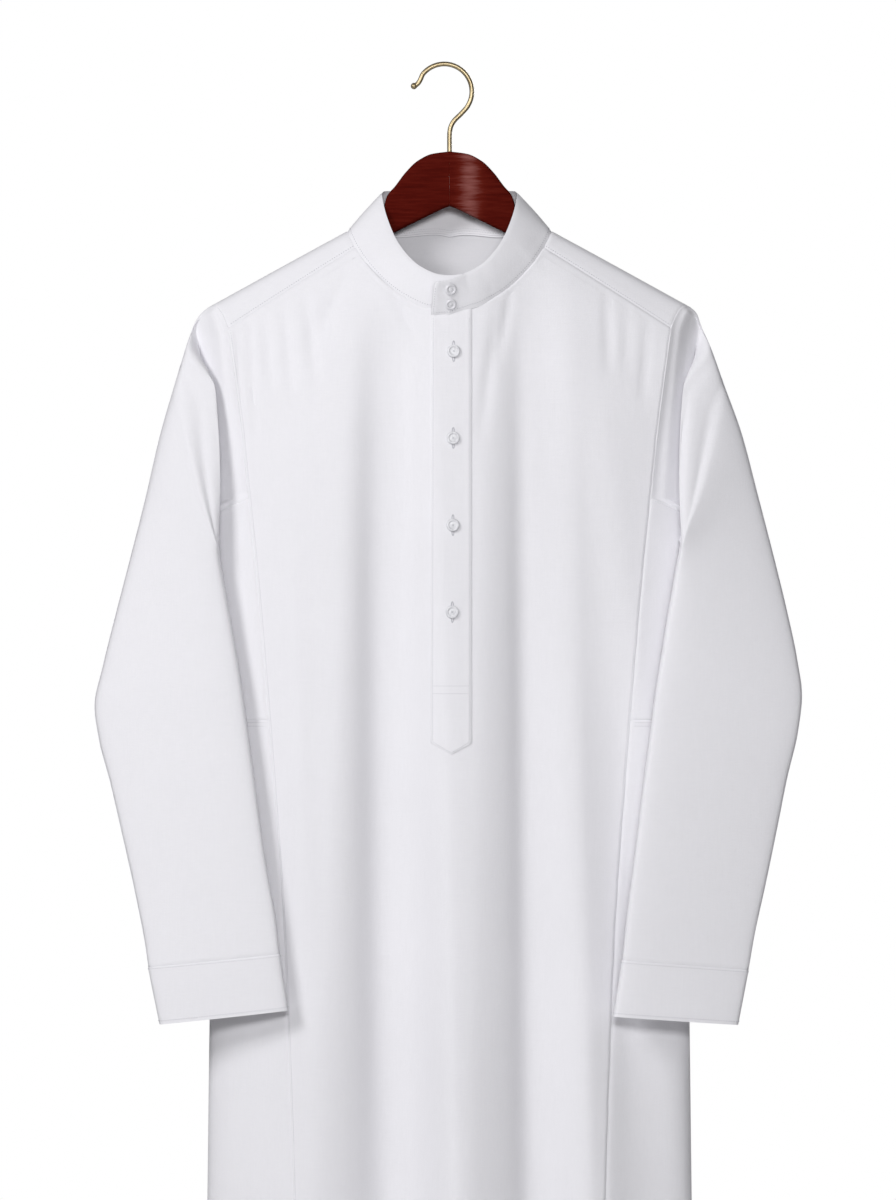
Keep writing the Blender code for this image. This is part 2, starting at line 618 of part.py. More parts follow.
def build_placket(front, material, parts):
    middle = (PLACKET_LEFT + PLACKET_RIGHT) / 2
    near = front[0, NECK_COLUMNS + YOKE_COLUMNS + 1, 0]
    across = (PLACKET_LEFT, -near, 0.0, middle, near, PLACKET_RIGHT)
    half = (PLACKET_RIGHT - PLACKET_LEFT) / 2
    columns = []
    for x in across:
        top = -float(on_tab(x, COLLAR_SEAT)[2]) + PLACKET_CLEAR
        point = (PLACKET_TIP_DOWN - PLACKET_CORNER_DOWN) * (1 - abs(x - middle) / half)
        downs = steps(top, PLACKET_CORNER_DOWN + point, PLACKET_ROWS)
        columns.append([(x, on_front(front, x, down), -down) for down in downs])
    grid = np.array(columns).transpose(1, 0, 2)
    forward = np.array((0.0, -1.0, 0.0))
    seat = grid + forward * PLACKET_SEAT
    wall("placket", seat + forward * CLOTH, seat, material, parts)


def build_fasteners(front, button_finish, snap_finish, parts):
    lift = PLACKET_SEAT + CLOTH + BUTTON_SEAT
    for number, (x, down) in enumerate(BUTTONS, 1):
        spots = [np.array((x + dx, on_front(front, x + dx, down + dd), -down - dd))
                 for dx, dd in ((0, 0), (FACE_STEP, 0), (0, FACE_STEP))]
        normal = facing(spots)
        turned(f"button_{number}", BUTTON_PROFILE, 16, spots[0] + normal * lift, normal,
               button_finish, parts)
    for word, (share, radius) in zip(("upper", "lower"), SNAPS):
        spots = [on_tab(SNAP_X + dx, share + ds) for dx, ds in ((0, 0), (FACE_STEP, 0), (0, FACE_SHARE))]
        normal = facing(spots)
        profile = [(part * radius, height) for part, height in SNAP_PROFILE]
        turned(f"snap_{word}", profile, 16, spots[0] + normal * SNAP_SEAT, normal,
               snap_finish, parts)


# ---------------------------------------------------------------- hanger

def wood_outline():
    """Outline of one half of the hanger, from past the joint to the tip and back below."""
    bell_x = np.concatenate(([-WOOD_PAST], steps(0, BELL_END_X, 10), [BELL_FOOT_X]))
    top = [(x, float(column(WOOD_BELL, 1, abs(x)))) for x in bell_x]
    top += [(x, ridge_down(x) + WOOD_SEAT
             + WOOD_NECK_CLEAR * max(0, 1 - abs(x - NECK_HALF) / WOOD_NECK_REACH))
            for x in steps(ARM_START_X, WOOD_TIP_X, 8)]
    under = [(x, WOOD_UNDER_DOWN + WOOD_UNDER_SLOPE * (math.hypot(x, WOOD_UNDER_ROUND)
                                                       - WOOD_UNDER_ROUND))
             for x in (*WOOD_UNDER_X, -WOOD_PAST)]
    upper, lower = top[-1][1], under[0][1]
    middle, radius = (upper + lower) / 2, (lower - upper) / 2
    end = [(WOOD_TIP_X + radius * WOOD_TIP_ROUND * math.sin(turn), middle - radius * math.cos(turn))
           for turn in steps(0, math.pi, 6)[1:-1]]
    return top + end + under


def build_arm(side, word, material, bore, parts):
    """Half of the hanger: its flat outline with soft edges and half of the hook's bore."""
    flat = bpy.data.curves.new(f"hanger_arm_{word}", "CURVE")
    flat.dimensions = "2D"
    flat.fill_mode = "BOTH"
    flat.extrude = (WOOD_HALF - WOOD_BEVEL) * MM
    flat.bevel_depth = WOOD_BEVEL * MM
    flat.offset = -WOOD_BEVEL * MM
    flat.bevel_resolution = 1
    spline = flat.splines.new("POLY")
    outline = wood_outline()
    spline.points.add(len(outline) - 1)
    spline.use_cyclic_u = True
    for point, (x, down) in zip(spline.points, outline):
        point.co = (side * x * MM, -down * MM, 0, 1)
    guide = bpy.data.objects.new("guide", flat)
    parts.objects.link(guide)
    guide.rotation_euler.x = math.pi / 2
    bpy.context.view_layer.update()
    mesh = bpy.data.meshes.new_from_object(guide.evaluated_get(
        bpy.context.evaluated_depsgraph_get()))
    mesh.transform(guide.matrix_world)
    bpy.data.objects.remove(guide, do_unlink=True)
    shape = bmesh.new()
    shape.from_mesh(mesh)
    bmesh.ops.remove_doubles(shape, verts=shape.verts, dist=0.00001)
    cut = bmesh.ops.bisect_plane(shape, geom=shape.verts[:] + shape.edges[:] + shape.faces[:],
                                 plane_co=(side * GAP / 2 * MM, 0, 0), plane_no=(side, 0, 0),
                                 clear_inner=True)
    joint = [part for part in cut["geom_cut"] if isinstance(part, bmesh.types.BMEdge)]
    bmesh.ops.edgeloop_fill(shape, edges=joint)
    bmesh.ops.recalc_face_normals(shape, faces=shape.faces)
    shape.to_mesh(mesh)
    shape.free()
    mesh.materials.clear()
    arm = new_object(f"hanger_arm_{word}", mesh, material, parts)
    drill = arm.modifiers.new("bore", "BOOLEAN")
    drill.operation = "DIFFERENCE"
    drill.object = bore


def hook_route():
    """Middle line of the hook's wire, from its ball tip over the crest down into the bore."""
    radius = HOOK_INNER + HOOK_WIRE
    crest = [(HOOK_CENTRE_X + radius * math.sin(turn), -HOOK_INNER + radius * math.cos(turn))
             for turn in np.radians(steps(*HOOK_TURN, 12))]
    stem = [(0.0, -down) for down in steps(HOOK_STEM_DOWN, WOOD_BELL[0][1] + BORE_DEPTH - GAP, 3)]
    return [*HOOK_TIP, *crest, *HOOK_NECK, *stem]


def build_hook(material, parts):
    wire = bpy.data.curves.new("hanger_hook", "CURVE")
    wire.dimensions = "3D"
    wire.bevel_depth = HOOK_WIRE * MM
    wire.bevel_resolution = 2
    wire.use_fill_caps = True
    points = smooth_route(np.array(hook_route()), 2)
    spline = wire.splines.new("POLY")
    spline.points.add(len(points) - 1)
    for point, (x, z) in zip(spline.points, points):
        point.co = (x * MM, 0, z * MM, 1)
    for number, swell in enumerate(BALL_TIP):
        spline.points[number].radius = swell
    hook = bpy.data.objects.new("hanger_hook", wire)
    hook.data.materials.append(material)
    parts.objects.link(hook)


def smooth_route(points, pieces):
    """A smooth curve through the points, with so many pieces between each two."""
    places = np.arange(len(points))
    fine = np.linspace(0, len(points) - 1, pieces * (len(points) - 1) + 1)
    before = np.vstack((2 * points[0] - points[1], points, 2 * points[-1] - points[-2]))
    tangents = (before[2:] - before[:-2]) / 2
    span = np.clip(fine.astype(int), 0, len(places) - 2)
    t = (fine - span)[:, None]
    a, b = points[span], points[span + 1]
    return (a * (1 + 2 * t) * (1 - t) ** 2 + b * t * t * (3 - 2 * t)
            + tangents[span] * t * (1 - t) ** 2 - tangents[span + 1] * t * t * (1 - t))


def build_hanger(wood, brass, parts, cutters):
    bore = bpy.data.meshes.new("bore")
    shape = bmesh.new()
    bmesh.ops.create_cone(shape, cap_ends=True, segments=16, radius1=(HOOK_WIRE + GAP) * MM,
                          radius2=(HOOK_WIRE + GAP) * MM, depth=2 * BORE_DEPTH * MM)
    shape.to_mesh(bore)
    shape.free()
    cutter = bpy.data.objects.new("bore", bore)
    cutter.location.z = -WOOD_BELL[0][1] * MM
    cutter.hide_render = True
    cutter.display_type = "WIRE"
    cutters.objects.link(cutter)
    build_arm(RIGHT, "right", wood, cutter, parts)
    build_arm(LEFT, "left", wood, cutter, parts)
    build_hook(brass, parts)


# ---------------------------------------------------------------- the whole

def finish(name, colour, roughness, metallic=0.0):
    material = bpy.data.materials.new(name)
    material.use_nodes = True
    shader = material.node_tree.nodes["Principled BSDF"]
    shader.inputs["Base Color"].default_value = (*colour, 1)
    shader.inputs["Roughness"].default_value = roughness
    shader.inputs["Metallic"].default_value = metallic
    return material


def main():
    for thing in list(bpy.data.objects):
        bpy.data.objects.remove(thing, do_unlink=True)
    parts = bpy.data.collections.new("thobe_robe")
    cutters = bpy.data.collections.new("cutters")
    for group in (parts, cutters):
        bpy.context.scene.collection.children.link(group)
    cloth = finish("white_cotton", (0.86, 0.86, 0.87), 0.75)
    button_finish = finish("pearl_button", (0.85, 0.84, 0.82), 0.3)
    snap_finish = finish("white_snap", (0.85, 0.85, 0.85), 0.45)
    wood = finish("dark_wood", (0.09, 0.03, 0.02), 0.35)
    brass = finish("antique_brass", (0.35, 0.23, 0.10), 0.35, 1.0)
    front = build_front(cloth, parts)
    build_back(cloth, parts)
    build_yoke(cloth, parts)
    build_sides(cloth, parts)
    build_sleeves(cloth, parts)
    build_collar(cloth, parts)
    build_placket(front, cloth, parts)
    build_fasteners(front, button_finish, snap_finish, parts)
    build_hanger(wood, brass, parts, cutters)


main()
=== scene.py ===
"""The looks of a thobe robe on a wooden hanger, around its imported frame.

Lengths are in millimetres, in the frame's own axes, and become metres where a mesh
is made.  X runs to the wearer's left, -Y is the front, +Z is up, and "down" is the
distance below the origin, which is the inside of the hook's crest.
"""

import math

import bmesh
import bpy
import numpy as np
from mathutils import Matrix, Vector


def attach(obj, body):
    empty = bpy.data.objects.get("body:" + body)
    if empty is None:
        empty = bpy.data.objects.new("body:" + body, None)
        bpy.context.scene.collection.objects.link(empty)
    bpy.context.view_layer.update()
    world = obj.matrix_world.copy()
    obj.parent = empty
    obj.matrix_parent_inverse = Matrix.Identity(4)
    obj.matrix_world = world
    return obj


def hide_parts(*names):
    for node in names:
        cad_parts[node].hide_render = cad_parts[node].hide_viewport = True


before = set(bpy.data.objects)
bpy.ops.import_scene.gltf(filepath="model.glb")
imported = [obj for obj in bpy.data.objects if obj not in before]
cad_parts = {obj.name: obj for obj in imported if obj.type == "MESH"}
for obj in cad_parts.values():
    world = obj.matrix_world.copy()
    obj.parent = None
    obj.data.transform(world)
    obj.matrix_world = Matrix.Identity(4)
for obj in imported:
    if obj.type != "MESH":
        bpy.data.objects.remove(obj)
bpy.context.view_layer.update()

MM = 0.001
CLOTH = 1.5                 # wall of every cloth piece
GAP = 0.3                   # between pieces that meet
RIGHT, LEFT = -1, 1         # the wearer's sides
SIDES = ((RIGHT, "right"), (LEFT, "left"))
FRONT, BACK = -1, 1

# shoulder ridge, and the half depth of the body below it
RIDGE_DOWN = 117.7
RIDGE_SLOPE = 0.559
RIDGE_ROUND = 30.0
TIP_X = 230.0
SHOULDER_DROP = 190.0       # below this the body's sides close like an ellipse
GIRTH = (
    # drop below the ridge, half depth
    (0, 0.0), (4, 8.0), (20, 16.0), (45, 26.0), (80, 34.5), (120, 41.0), (200, 46.0),
    (400, 49.0), (800, 54.0), (1100, 61.0), (1500, 74.0),
)
TRIM = (
    # down, half width of the body, x of the long seam
    (252, 270.0, 212.0), (300, 262.0, 205.3), (350, 250.0, 198.8), (415, 236.0, 192.0),
    (436, 232.0, 189.8), (482, 231.0, 185.0), (602, 229.0, 174.7), (685, 229.0, 168.2),
    (828, 229.5, 158.2), (953, 231.0, 153.0), (1080, 232.5, 149.0), (1350, 236.0, 146.5),
    (1617, 240.0, 146.0),
)
HEM_DOWN = 1617.0
FRONT_CORNER_DOWN = 252.0   # yoke seam meets the armhole in front
BACK_CORNER_DOWN = 262.0    # and behind
ARM_CORNER_DOWN = 415.0     # armhole meets the underarm seam
UNDERARM_DIP = 21.0         # how far the underarm seam falls to the body's side
UNDERARM_ROUND = 1.5        # power of its curve
FAN_EASE = 1.5              # power by which the front's rows turn level below its top edge
BACK_CORNER_TURN = 105.0    # angle round the neck that faces the yoke's back corner
SIDE_SEAM_DOWN = 627.0      # upper side panel meets the lower one
YOKE_SEAM = (
    # x, drop below the ridge of the front yoke seam
    (90.0, 20.6), (212.0, 31.4),
)

# each fold at its top and at the hem: where it lies and how far it spreads each way
FRONT_FOLDS = (
    # x, x at the hem, to the right, at the hem, to the left, at the hem, starts down, depth
    (-54, -38, 40, 120, 44, 64, 225, -41.0), (75, 96, 42, 92, 46, 54, 190, -29.0),
    (113, 262, 46, 84, 34, 84, 300, -15.0), (-150, -134, 38, 38, 38, 34, 800, 4.0),
    (4, 6, 34, 30, 34, 30, 420, 4.0),
)
BACK_FOLDS = (
    (-90, -104, 30, 74, 30, 54, 300, -19.0), (6, -8, 28, 70, 28, 48, 360, -17.0),
    (82, 98, 32, 76, 32, 52, 320, -20.0), (-44, -50, 44, 44, 44, 44, 500, 4.0),
    (46, 44, 40, 40, 40, 40, 560, 4.0),
)
FOLD_GROWTH = 0.55          # power by which a fold deepens down its length
FOLD_FADE = 1.4             # folds die away towards the side folds of the body

# neck seam and collar, by the angle round the neck from the front centre
NECK_HALF = 97.5
NECK = (
    # angle, root of the drop below the ridge (negative in front)
    (0, -10.9), (12, -10.6), (26, -9.65), (38, -8.5), (55, -6.4), (70, -4.1), (80, -2.2),
    (90, 0.0), (100, 1.6), (115, 2.75), (135, 4.1), (155, 5.55), (180, 6.5),
)
COLLAR_TOP = (
    # angle, x, down, y on the right side, y on the left
    (0, 0.0, 203.5, -45.0, -45.0), (8, 9.5, 202.5, -44.2, -44.8), (26, 28.8, 194.0, -38.8, -43.0),
    (42, 43.8, 179.5, -30.0, -38.5), (56, 54.4, 162.0, -21.0, -31.5),
    (74, 63.3, 137.0, -10.4, -17.5), (90, 65.8, 123.5, 0.0, -1.5), (107, 63.5, 119.2, 9.5, 9.0),
    (135, 47.5, 118.0, 21.5, 21.5), (160, 23.0, 117.6, 28.0, 28.0), (180, 0.0, 117.5, 29.5, 29.5),
)
TAB_LEFT_X, TAB_RIGHT_X = -17.8, 21.0
TAB_LIFT = CLOTH + 2 * GAP  # the tab lies over the other end of the collar
TAB_TILT = 12.0             # its free upper corner stands out by so much more
TAB_DROOP = 8.5             # its free corner hangs lower
TAB_RAMP = 14.0             # degrees over which the tab rises onto that end
UNDER_END_X = 17.0          # x of the end under the tab
COLLAR_BOW = 1.5            # how far it bows out at mid height
COLLAR_TALL = 33.0
NECK_DEGREE = 1.7           # millimetres of its length to a degree

PLACKET_LEFT, PLACKET_RIGHT = -17.6, 20.8
PLACKET_CORNER_DOWN, PLACKET_TIP_DOWN = 648.6, 659.0
BUTTONS = (
    # x, down
    (3.9, 275.8), (3.5, 358.3), (3.2, 441.2), (2.6, 523.8),
)
SNAPS = (
    # share of the collar's height, radius
    (0.70, 5.8), (0.27, 5.5),
)
SNAP_X = 1.3

# sleeves, by ring: 0 on the armhole, 17 at the cuff seam, 18 at the cuff's edge
CUFF_RING, LAST_RING = 17, 18
SLEEVE_EDGES = {
    RIGHT: (
        # ring, outer x, outer down, inner x, inner down
        (0, 230.0, 230.6, 232.0, 436.0), (1, 235.5, 234.5, 237.5, 436.0),
        (2, 240.5, 239.5, 240.0, 438.5), (3, 245.4, 248.3, 237.0, 443.5),
        (4, 253.0, 271.0, 220.5, 458.0), (5, 263.5, 306.0, 219.5, 465.0),
        (6, 277.0, 353.0, 219.5, 468.0), (7, 291.5, 416.0, 217.0, 484.0),
        (8, 306.0, 474.0, 213.0, 505.0), (9, 318.5, 523.0, 208.5, 531.0),
        (10, 331.0, 574.0, 203.0, 562.0), (11, 339.0, 613.0, 197.5, 597.0),
        (12, 334.5, 646.0, 192.5, 633.0), (13, 324.0, 685.0, 187.0, 673.0),
        (14, 313.6, 729.0, 181.0, 718.0), (15, 301.0, 784.0, 174.0, 765.0),
        (16, 290.0, 838.0, 165.5, 813.0), (17, 286.4, 861.5, 161.4, 848.0),
        (18, 275.4, 915.8, 153.6, 901.5),
    ),
    LEFT: (
        (0, 230.0, 230.6, 232.0, 436.0), (1, 234.5, 234.0, 237.5, 436.0),
        (2, 238.0, 238.5, 240.0, 438.5), (3, 241.0, 248.0, 237.0, 444.0),
        (4, 251.0, 272.0, 221.0, 457.0), (5, 263.0, 306.0, 219.5, 465.0),
        (6, 279.5, 352.0, 218.5, 469.0), (7, 295.5, 413.0, 215.0, 486.0),
        (8, 311.0, 474.0, 211.5, 507.0), (9, 322.0, 520.0, 207.0, 532.0),
        (10, 332.0, 568.0, 202.0, 563.0), (11, 336.5, 603.0, 196.0, 600.0),
        (12, 332.5, 638.0, 191.0, 638.0), (13, 322.0, 682.0, 185.5, 678.0),
        (14, 312.2, 730.0, 180.0, 722.0), (15, 301.4, 781.0, 174.0, 769.0),
        (16, 290.4, 830.0, 168.0, 815.0), (17, 284.2, 864.0, 163.9, 853.7),
        (18, 274.0, 916.2, 155.8, 907.0),
    ),
}
SLEEVE_FORM = (
    # ring, outer y, inner y, front, back
    (0, 0, 0, 0, 0), (1, 0, -4, 24, 24), (2, 0, -9, 26, 24), (3, 0, -15, 25, 24),
    (4, -1, -20, 29, 23), (5, -2, -24, 26, 22), (6, -4, -26, 23, 20), (7, -6, -27, 20.5, 18),
    (8, -9, -29, 19, 17), (9, -12, -31, 18, 16), (10, -15, -33, 17.5, 15),
    (11, -18, -36, 17, 14), (12, -21, -38, 16.5, 13.5), (13, -24, -41, 16, 13),
    (14, -27, -44, 15, 12), (15, -31, -47, 14, 11.5), (16, -35, -50, 13, 11),
    (17, -38, -52, 12, 10.5), (18, -41, -54, 12, 10),
)
SLEEVE_HEAD = (
    # ring, bulge to the body, hold of the armhole, crease
    (0, 1, 1, 0), (1, 0.80, 0.5, 12), (2, 0.50, 0.25, 26), (3, 0.15, 0.05, 30), (4, 0, 0, 0),
    (5, 0, 0, 0),
)
BACK_TUCK = 0.60            # how much flatter a sleeve's back is near the body

# hanger
WOOD_HALF = 6.0             # half its thickness
WOOD_EASE = 0.55, 0.30      # powers that round its section, front to back and up
TIP_BACK, TIP_ROUND_LONG, TIP_CLOSE = 4, 10.0, 0.97   # its tip rounds off: from, over, by
WOOD_BELL = (
    # x, down of the top edge of the middle
    (0, 81.7), (17, 84.1), (31, 91.0), (43, 102.8), (52, 114.8), (60, 124.5), (63.5, 135.5),
    (75, 149.5),
)
BELL_FOOT_X = 68.0          # the middle's own top edge ends here
WOOD_UNDER_DOWN, WOOD_UNDER_SLOPE, WOOD_UNDER_ROUND = 134.6, 0.50, 3.0
ARM_START_X, WOOD_TIP_X = 78.0, 212.0     # where the plain arm starts and ends
BELL_RUN = 1.6, ARM_START_X - 2, 70       # even stations of the middle, and of the arm
ARM_RUN = ARM_START_X, WOOD_TIP_X - TIP_BACK, 44
WOOD_SEAT = CLOTH + GAP + 1.2     # its flat top lies this far under the ridge
WOOD_NECK_CLEAR = 2.2             # and lower still where the collar crosses it
WOOD_NECK_REACH = 30.0            # within this distance of that crossing
JOINT_X, JOINT_EASE = (0.01, 0.3, 0.8), (0.22, 0.06, 0.01)   # its halves' eased joint
TIP_STATIONS = (-2, 0, 2, 3.6, 4.8, 5.6, 6.0)                # x past the tip's start
HOOK_WIRE = 2.3             # radius of the wire
HOOK_INNER, HOOK_CENTRE_X = 24.2, -5.1    # inner radius of the crest, and its centre
HOOK_TURN = (-50.0, 122.0)        # degrees of its crest, from straight up
# x and z of the wire before its crest and after it
HOOK_TIP = ((-37.1, -19.9), (-34.2, -18.9), (-31.2, -17.2), (-29.1, -14.8), (-27.5, -11.7))
HOOK_NECK = ((14.2, -42.2), (9.8, -46.8), (5.1, -51.4), (1.8, -56.4), (0.3, -62.0))
HOOK_STEM_DOWN = 68.0       # its stem is straight below this
BORE_DEPTH = 24.0           # and goes so far into the wood
HOOK_BALL = 3.1             # radius of the wire's rolled tip

# the cloth's finer form, which the solids leave out
CLOTH_THREAD = 0.00072      # metres between threads of the weave
SHELL = 1.0                 # thickness of the cloth
CUFF_SHELL, CUFF_PROUD = 1.4, 0.5         # its cuffs are thicker, and stand out
SEAM_DEEP, SEAM_WIDE = 0.62, 0.9          # a pressed seam's groove
SEAM_PROUD, PROUD_AT, PROUD_WIDE = 0.16, 3.2, 2.2     # and the rise beside it
PUCKER_HIGH, PUCKER_WIDE = 0.35, 7        # gathers along the front's long seams
PUCKER_SEEDS = (1.3, 3.1)                 # which differ from side to side
HEM_PRESS = 0.6             # share of such a seam that shows along the hem's turn
YOKE_WIDE, YOKE_DEGREE = 120, 1.1         # from neck to edge, and to a degree round the neck
CREASE_END, CREASE_SHARP = 0.7, 2.5       # powers by which a crease fades, along and across
CREASE_START_WIDE, CREASE_GROWTH = 0.7, 0.6     # shares of its width: at its start, and gained
SIDE_TUCK = 0.10            # the side panels lie a little under the front and back
SIDE_REACH = 75             # from a side panel's middle to its seam
HEAD_RING_LONG, ARM_RING_LONG, CUFF_RING_LONG = 10, 45, 55     # from ring to ring at a seam
EDGE_COLUMNS = (4.4, 3.0, 1.9, 1.1, 0.5, 0.0)     # distances of the lines beside a long seam
EDGE_ROWS = (0.0, 0.6, 1.4, 2.6, 4.2, 7.0)        # and beside a level one
HEM_TURN = 32.0             # the hem is stitched so far up
STITCH_LONG, STITCH_GAP, STITCH_SIZE = 1.35, 1.2, 0.33
STITCH_IN, STITCH_LIFT = 2.2, 0.28        # how far stitches lie from the seam and off the cloth
STITCH_TOP, STITCH_FOOT = 1, 2            # their lines stop so far from the ends of a seam
BACK_STITCH_X = 208                       # half the back yoke's line
SIDE_STITCH_REACH = 0.97                  # share of a side panel that its lines cross
SIDE_STITCH_ROWS = 1, 2.6                 # lines below its upper seam, in STITCH_IN
CUFF_STITCH_RINGS = CUFF_RING + 0.05, LAST_RING - 0.06
CUFF_STITCH_LIFT, RING_STEP = 0.4, 0.02
TAB_CORNER, TAB_CORNER_TURN = 0.12, 1.5   # the tab's rounded corner: share of height, degrees
FLAT_ROUND = {RIGHT: 0.20, LEFT: 0.12}   # power of the roundness of a sleeve's section
HEAD_RING = 4                            # at this ring the head folds over its seam
HEAD_FOLD = {RIGHT: 23.0, LEFT: 22.0}    # by so much,
HEAD_SINK = 7.0                          # and lies so much closer to the seam
HEAD_WIDE, HEAD_EDGE = 0.7, 0.22         # its spread in rings, and the share that leads in
SLEEVE_LEAN = {RIGHT: 0.0, LEFT: 0.40}   # how much thicker a sleeve is beside the body
COLLAR_RISES = (
    # from its end (or else its foot), where, height, width
    (False, 4.5, 0.22, 1.8), (True, 3.2, 0.35, 1.5), (False, COLLAR_TALL, -0.9, 1.2),
    (False, 0.0, -0.2, 0.8), (True, 0.0, -1.5, 1.7),
)
COLLAR_TUCK = 0.3                         # its lower edge goes so far under the seam
COLLAR_STITCH_START, COLLAR_STITCH_STOP = 20, 1.2     # degrees of its lines from its ends
COLLAR_STITCH_UP, COLLAR_STITCH_LIFT = 2.4, 0.35
TAB_STITCH_IN, TAB_STITCH = 1.3, (0.08, 0.80, 30)     # shares of its height, and steps
INNER_STITCH = -110, -250, 200            # degrees round the neck, and steps
INNER_LEVELS, INNER_LIFT = (0.05, 0.10), 0.2          # shares of its height
PLACKET_LIFT, PLACKET_FOOT = 1.25, 0.1    # heights of the placket's face and underside
PLACKET_EASE, EASE_WIDE = 0.5, 0.7        # its edges are pressed down
PLACKET_RIM, RIM_AT, RIM_WIDE = 0.18, 3.6, 1.5        # and it is a little proud beside them
PLACKET_PUCKER, PLACKET_SEED, PLACKET_PUCKER_WIDE = 0.10, 0.7, 5
PLACKET_TUCK, POINT_SLANT = 1.5, 0.9      # its top goes under the tab; share across its point
PLACKET_STITCH_LIFT, PLACKET_STITCH_DOWN = 0.25, 243
SIDE_STITCH_UP, POINT_STITCH_UP, BAR_IN = 0.5, 1.5, 2
BUTTON_RISE, BUTTON_RISE_WIDE = 0.35, 12.0            # the cloth swells round a button
PLACKET_BARS = (594.0, 601.3)             # down of its two bar tacks
BUTTONHOLE_HALF, BUTTONHOLE_WIDE = 10.2, 1.5
BUTTONHOLE_RINGS = (
    # share of its width, height
    (1.0, 0.0), (0.82, 0.32), (0.45, 0.30), (0.28, -0.1),
)
BUTTONHOLE_SQUARE, BUTTONHOLE_LIFT = 0.35, 0.1        # power of its square ends
SATIN_RIPPLE = 0.05                       # height of its satin stitches
BUTTON_LOOK = (
    # radius, height above the seat
    (0.0, 1.75), (2.4, 1.7), (3.1, 1.5), (3.7, 1.7), (4.3, 2.3), (5.3, 2.35), (6.25, 1.6),
    (6.3, 0.8), (4.6, 0.3), (0.0, 0.0),
)
BUTTON_LIFT, SNAP_LIFT = 0.55, 0.1        # from the cloth to a button's foot, and to a cap's
HOLE_LOOK, HOLE_REACH = ((0, 1.62), (0.55, 1.62), (0.62, 1.45), (0, 1.45)), 1.35
STRAND_LOOK = ((0, 0.3), (0.22, 0.3), (0.22, -0.3), (0, -0.3))
STRAND_STRETCH, STRAND_HIGH = 5.4, 1.72
SNAP_LOOK = (
    # radius share, height above the seat
    (0.0, 1.3), (0.22, 1.25), (0.36, 0.9), (0.52, 0.9), (0.64, 1.5), (0.80, 1.5), (0.92, 1.0),
    (1.0, 0.8), (1.02, 0.3), (0.9, 0.0), (0.0, 0.0),
)

FRONT_CREASES = (
    # start x, start down, end x, end down, half width, height (negative is a trough)
    (-204, 240, -196, 380, 5, -1.6), (-192, 236, -185, 360, 5, -2.7),
    (-176, 236, -170, 315, 5.5, -2.8), (-158, 226, -150, 320, 6.5, -2.4),
    (-138, 216, -126, 310, 7.5, -2.2), (-92, 190, -136, 280, 9, -2.6),
    (-57, 214, -27, 272, 6, -2.2), (60, 214, 44, 290, 7, -2.4), (150, 214, 152, 300, 6, -2.2),
    (190, 240, 184, 330, 6, -2.0), (170, 226, 168, 300, 6, -1.4),
    (44, 236, 30, 360, 8, -2.2), (-34, 250, -30, 700, 12, 1.2),
    (-150, 420, -128, 1000, 16, 1.4),
    (-74, 250, -54, 1660, 30, -6.5), (66, 230, 84, 1660, 21, -5.0),
)
BACK_CREASES = (
    (-120, 280, -104, 700, 16, -2.6), (30, 270, 10, 760, 18, -2.4), (130, 270, 120, 620, 15, -2.6),
    (-190, 270, -178, 400, 8, -1.8), (184, 270, 176, 380, 8, -2.0), (70, 300, 60, 900, 14, 1.8),
    (-60, 300, -52, 820, 14, 1.6), (-10, 900, -24, 1400, 16, -2.0),
)
SLEEVE_CREASES = {
    # start across, start ring, end across, end ring, half width, height
    RIGHT: (
        (0.0, 4.45, 0.98, 5.0, 0.26, -2.4), (0.0, 4.95, 0.95, 5.5, 0.32, 1.2),
    ),
    LEFT: (
        (0.05, 4.1, 0.6, 4.15, 0.1, -1.0), (0.0, 4.35, 0.82, 4.5, 0.18, 1.5),
        (0.0, 4.8, 0.84, 5.15, 0.34, -3.2),
    ),
}
SLEEVE_BACK_CREASES = (
    (0.3, 3.0, 0.8, 5.0, 0.9, -1.0),
)

# colours of cloth and wood, and the wood's painted highlight
COTTON_LOW, COTTON_HIGH = (0.718, 0.711, 0.745), (0.770, 0.762, 0.798)
WOOD_DARK, WOOD_MIDDLE = (0.045, 0.0035, 0.0025), (0.070, 0.0055, 0.0035)
# the last, palest colour is a painted highlight: the highlight band reaches it, and the grain only
# seldom
WOOD_LIGHT, WOOD_PAINTED_HIGHLIGHT = (0.095, 0.010, 0.006), (0.21, 0.070, 0.062)
PAINTED_HIGHLIGHT_X, PAINTED_HIGHLIGHT_WIDE = 0.019, 0.011      # metres: where the painted highlight, a paler band across the wood's front, lies on x, and its width
PAINTED_HIGHLIGHT_SHARE = 0.36                       # and how much

# stage, in metres
FLOOR_RADIUS, FLOOR_Z = 2.4, -1.72
AMBIENT = 0.05
LENS = 150.0
CAMERA_X, CAMERA_FAR, CAMERA_Z = -0.0015, 4.8, -0.5123
LIGHTS = (
    # name, place, aimed at, size, power; metres and watts, all white
    ("key_left", (-2.2, -2.2, 1.2), (0.0, 0.0, -0.4), (1.0, 1.2), 67.0),
    ("front_soft", (0.1, -3.5, 0.30), (0.0, 0.0, -0.3), (1.2, 0.6), 66.0),
    ("back_soft", (1.4, 3.2, 0.90), (0.0, 0.0, -0.6), (1.6, 1.6), 60.0),
    ("low_fill", (0.1, -3.6, -0.80), (0.0, 0.0, -0.3), (1.0, 0.5), 6.5),
)

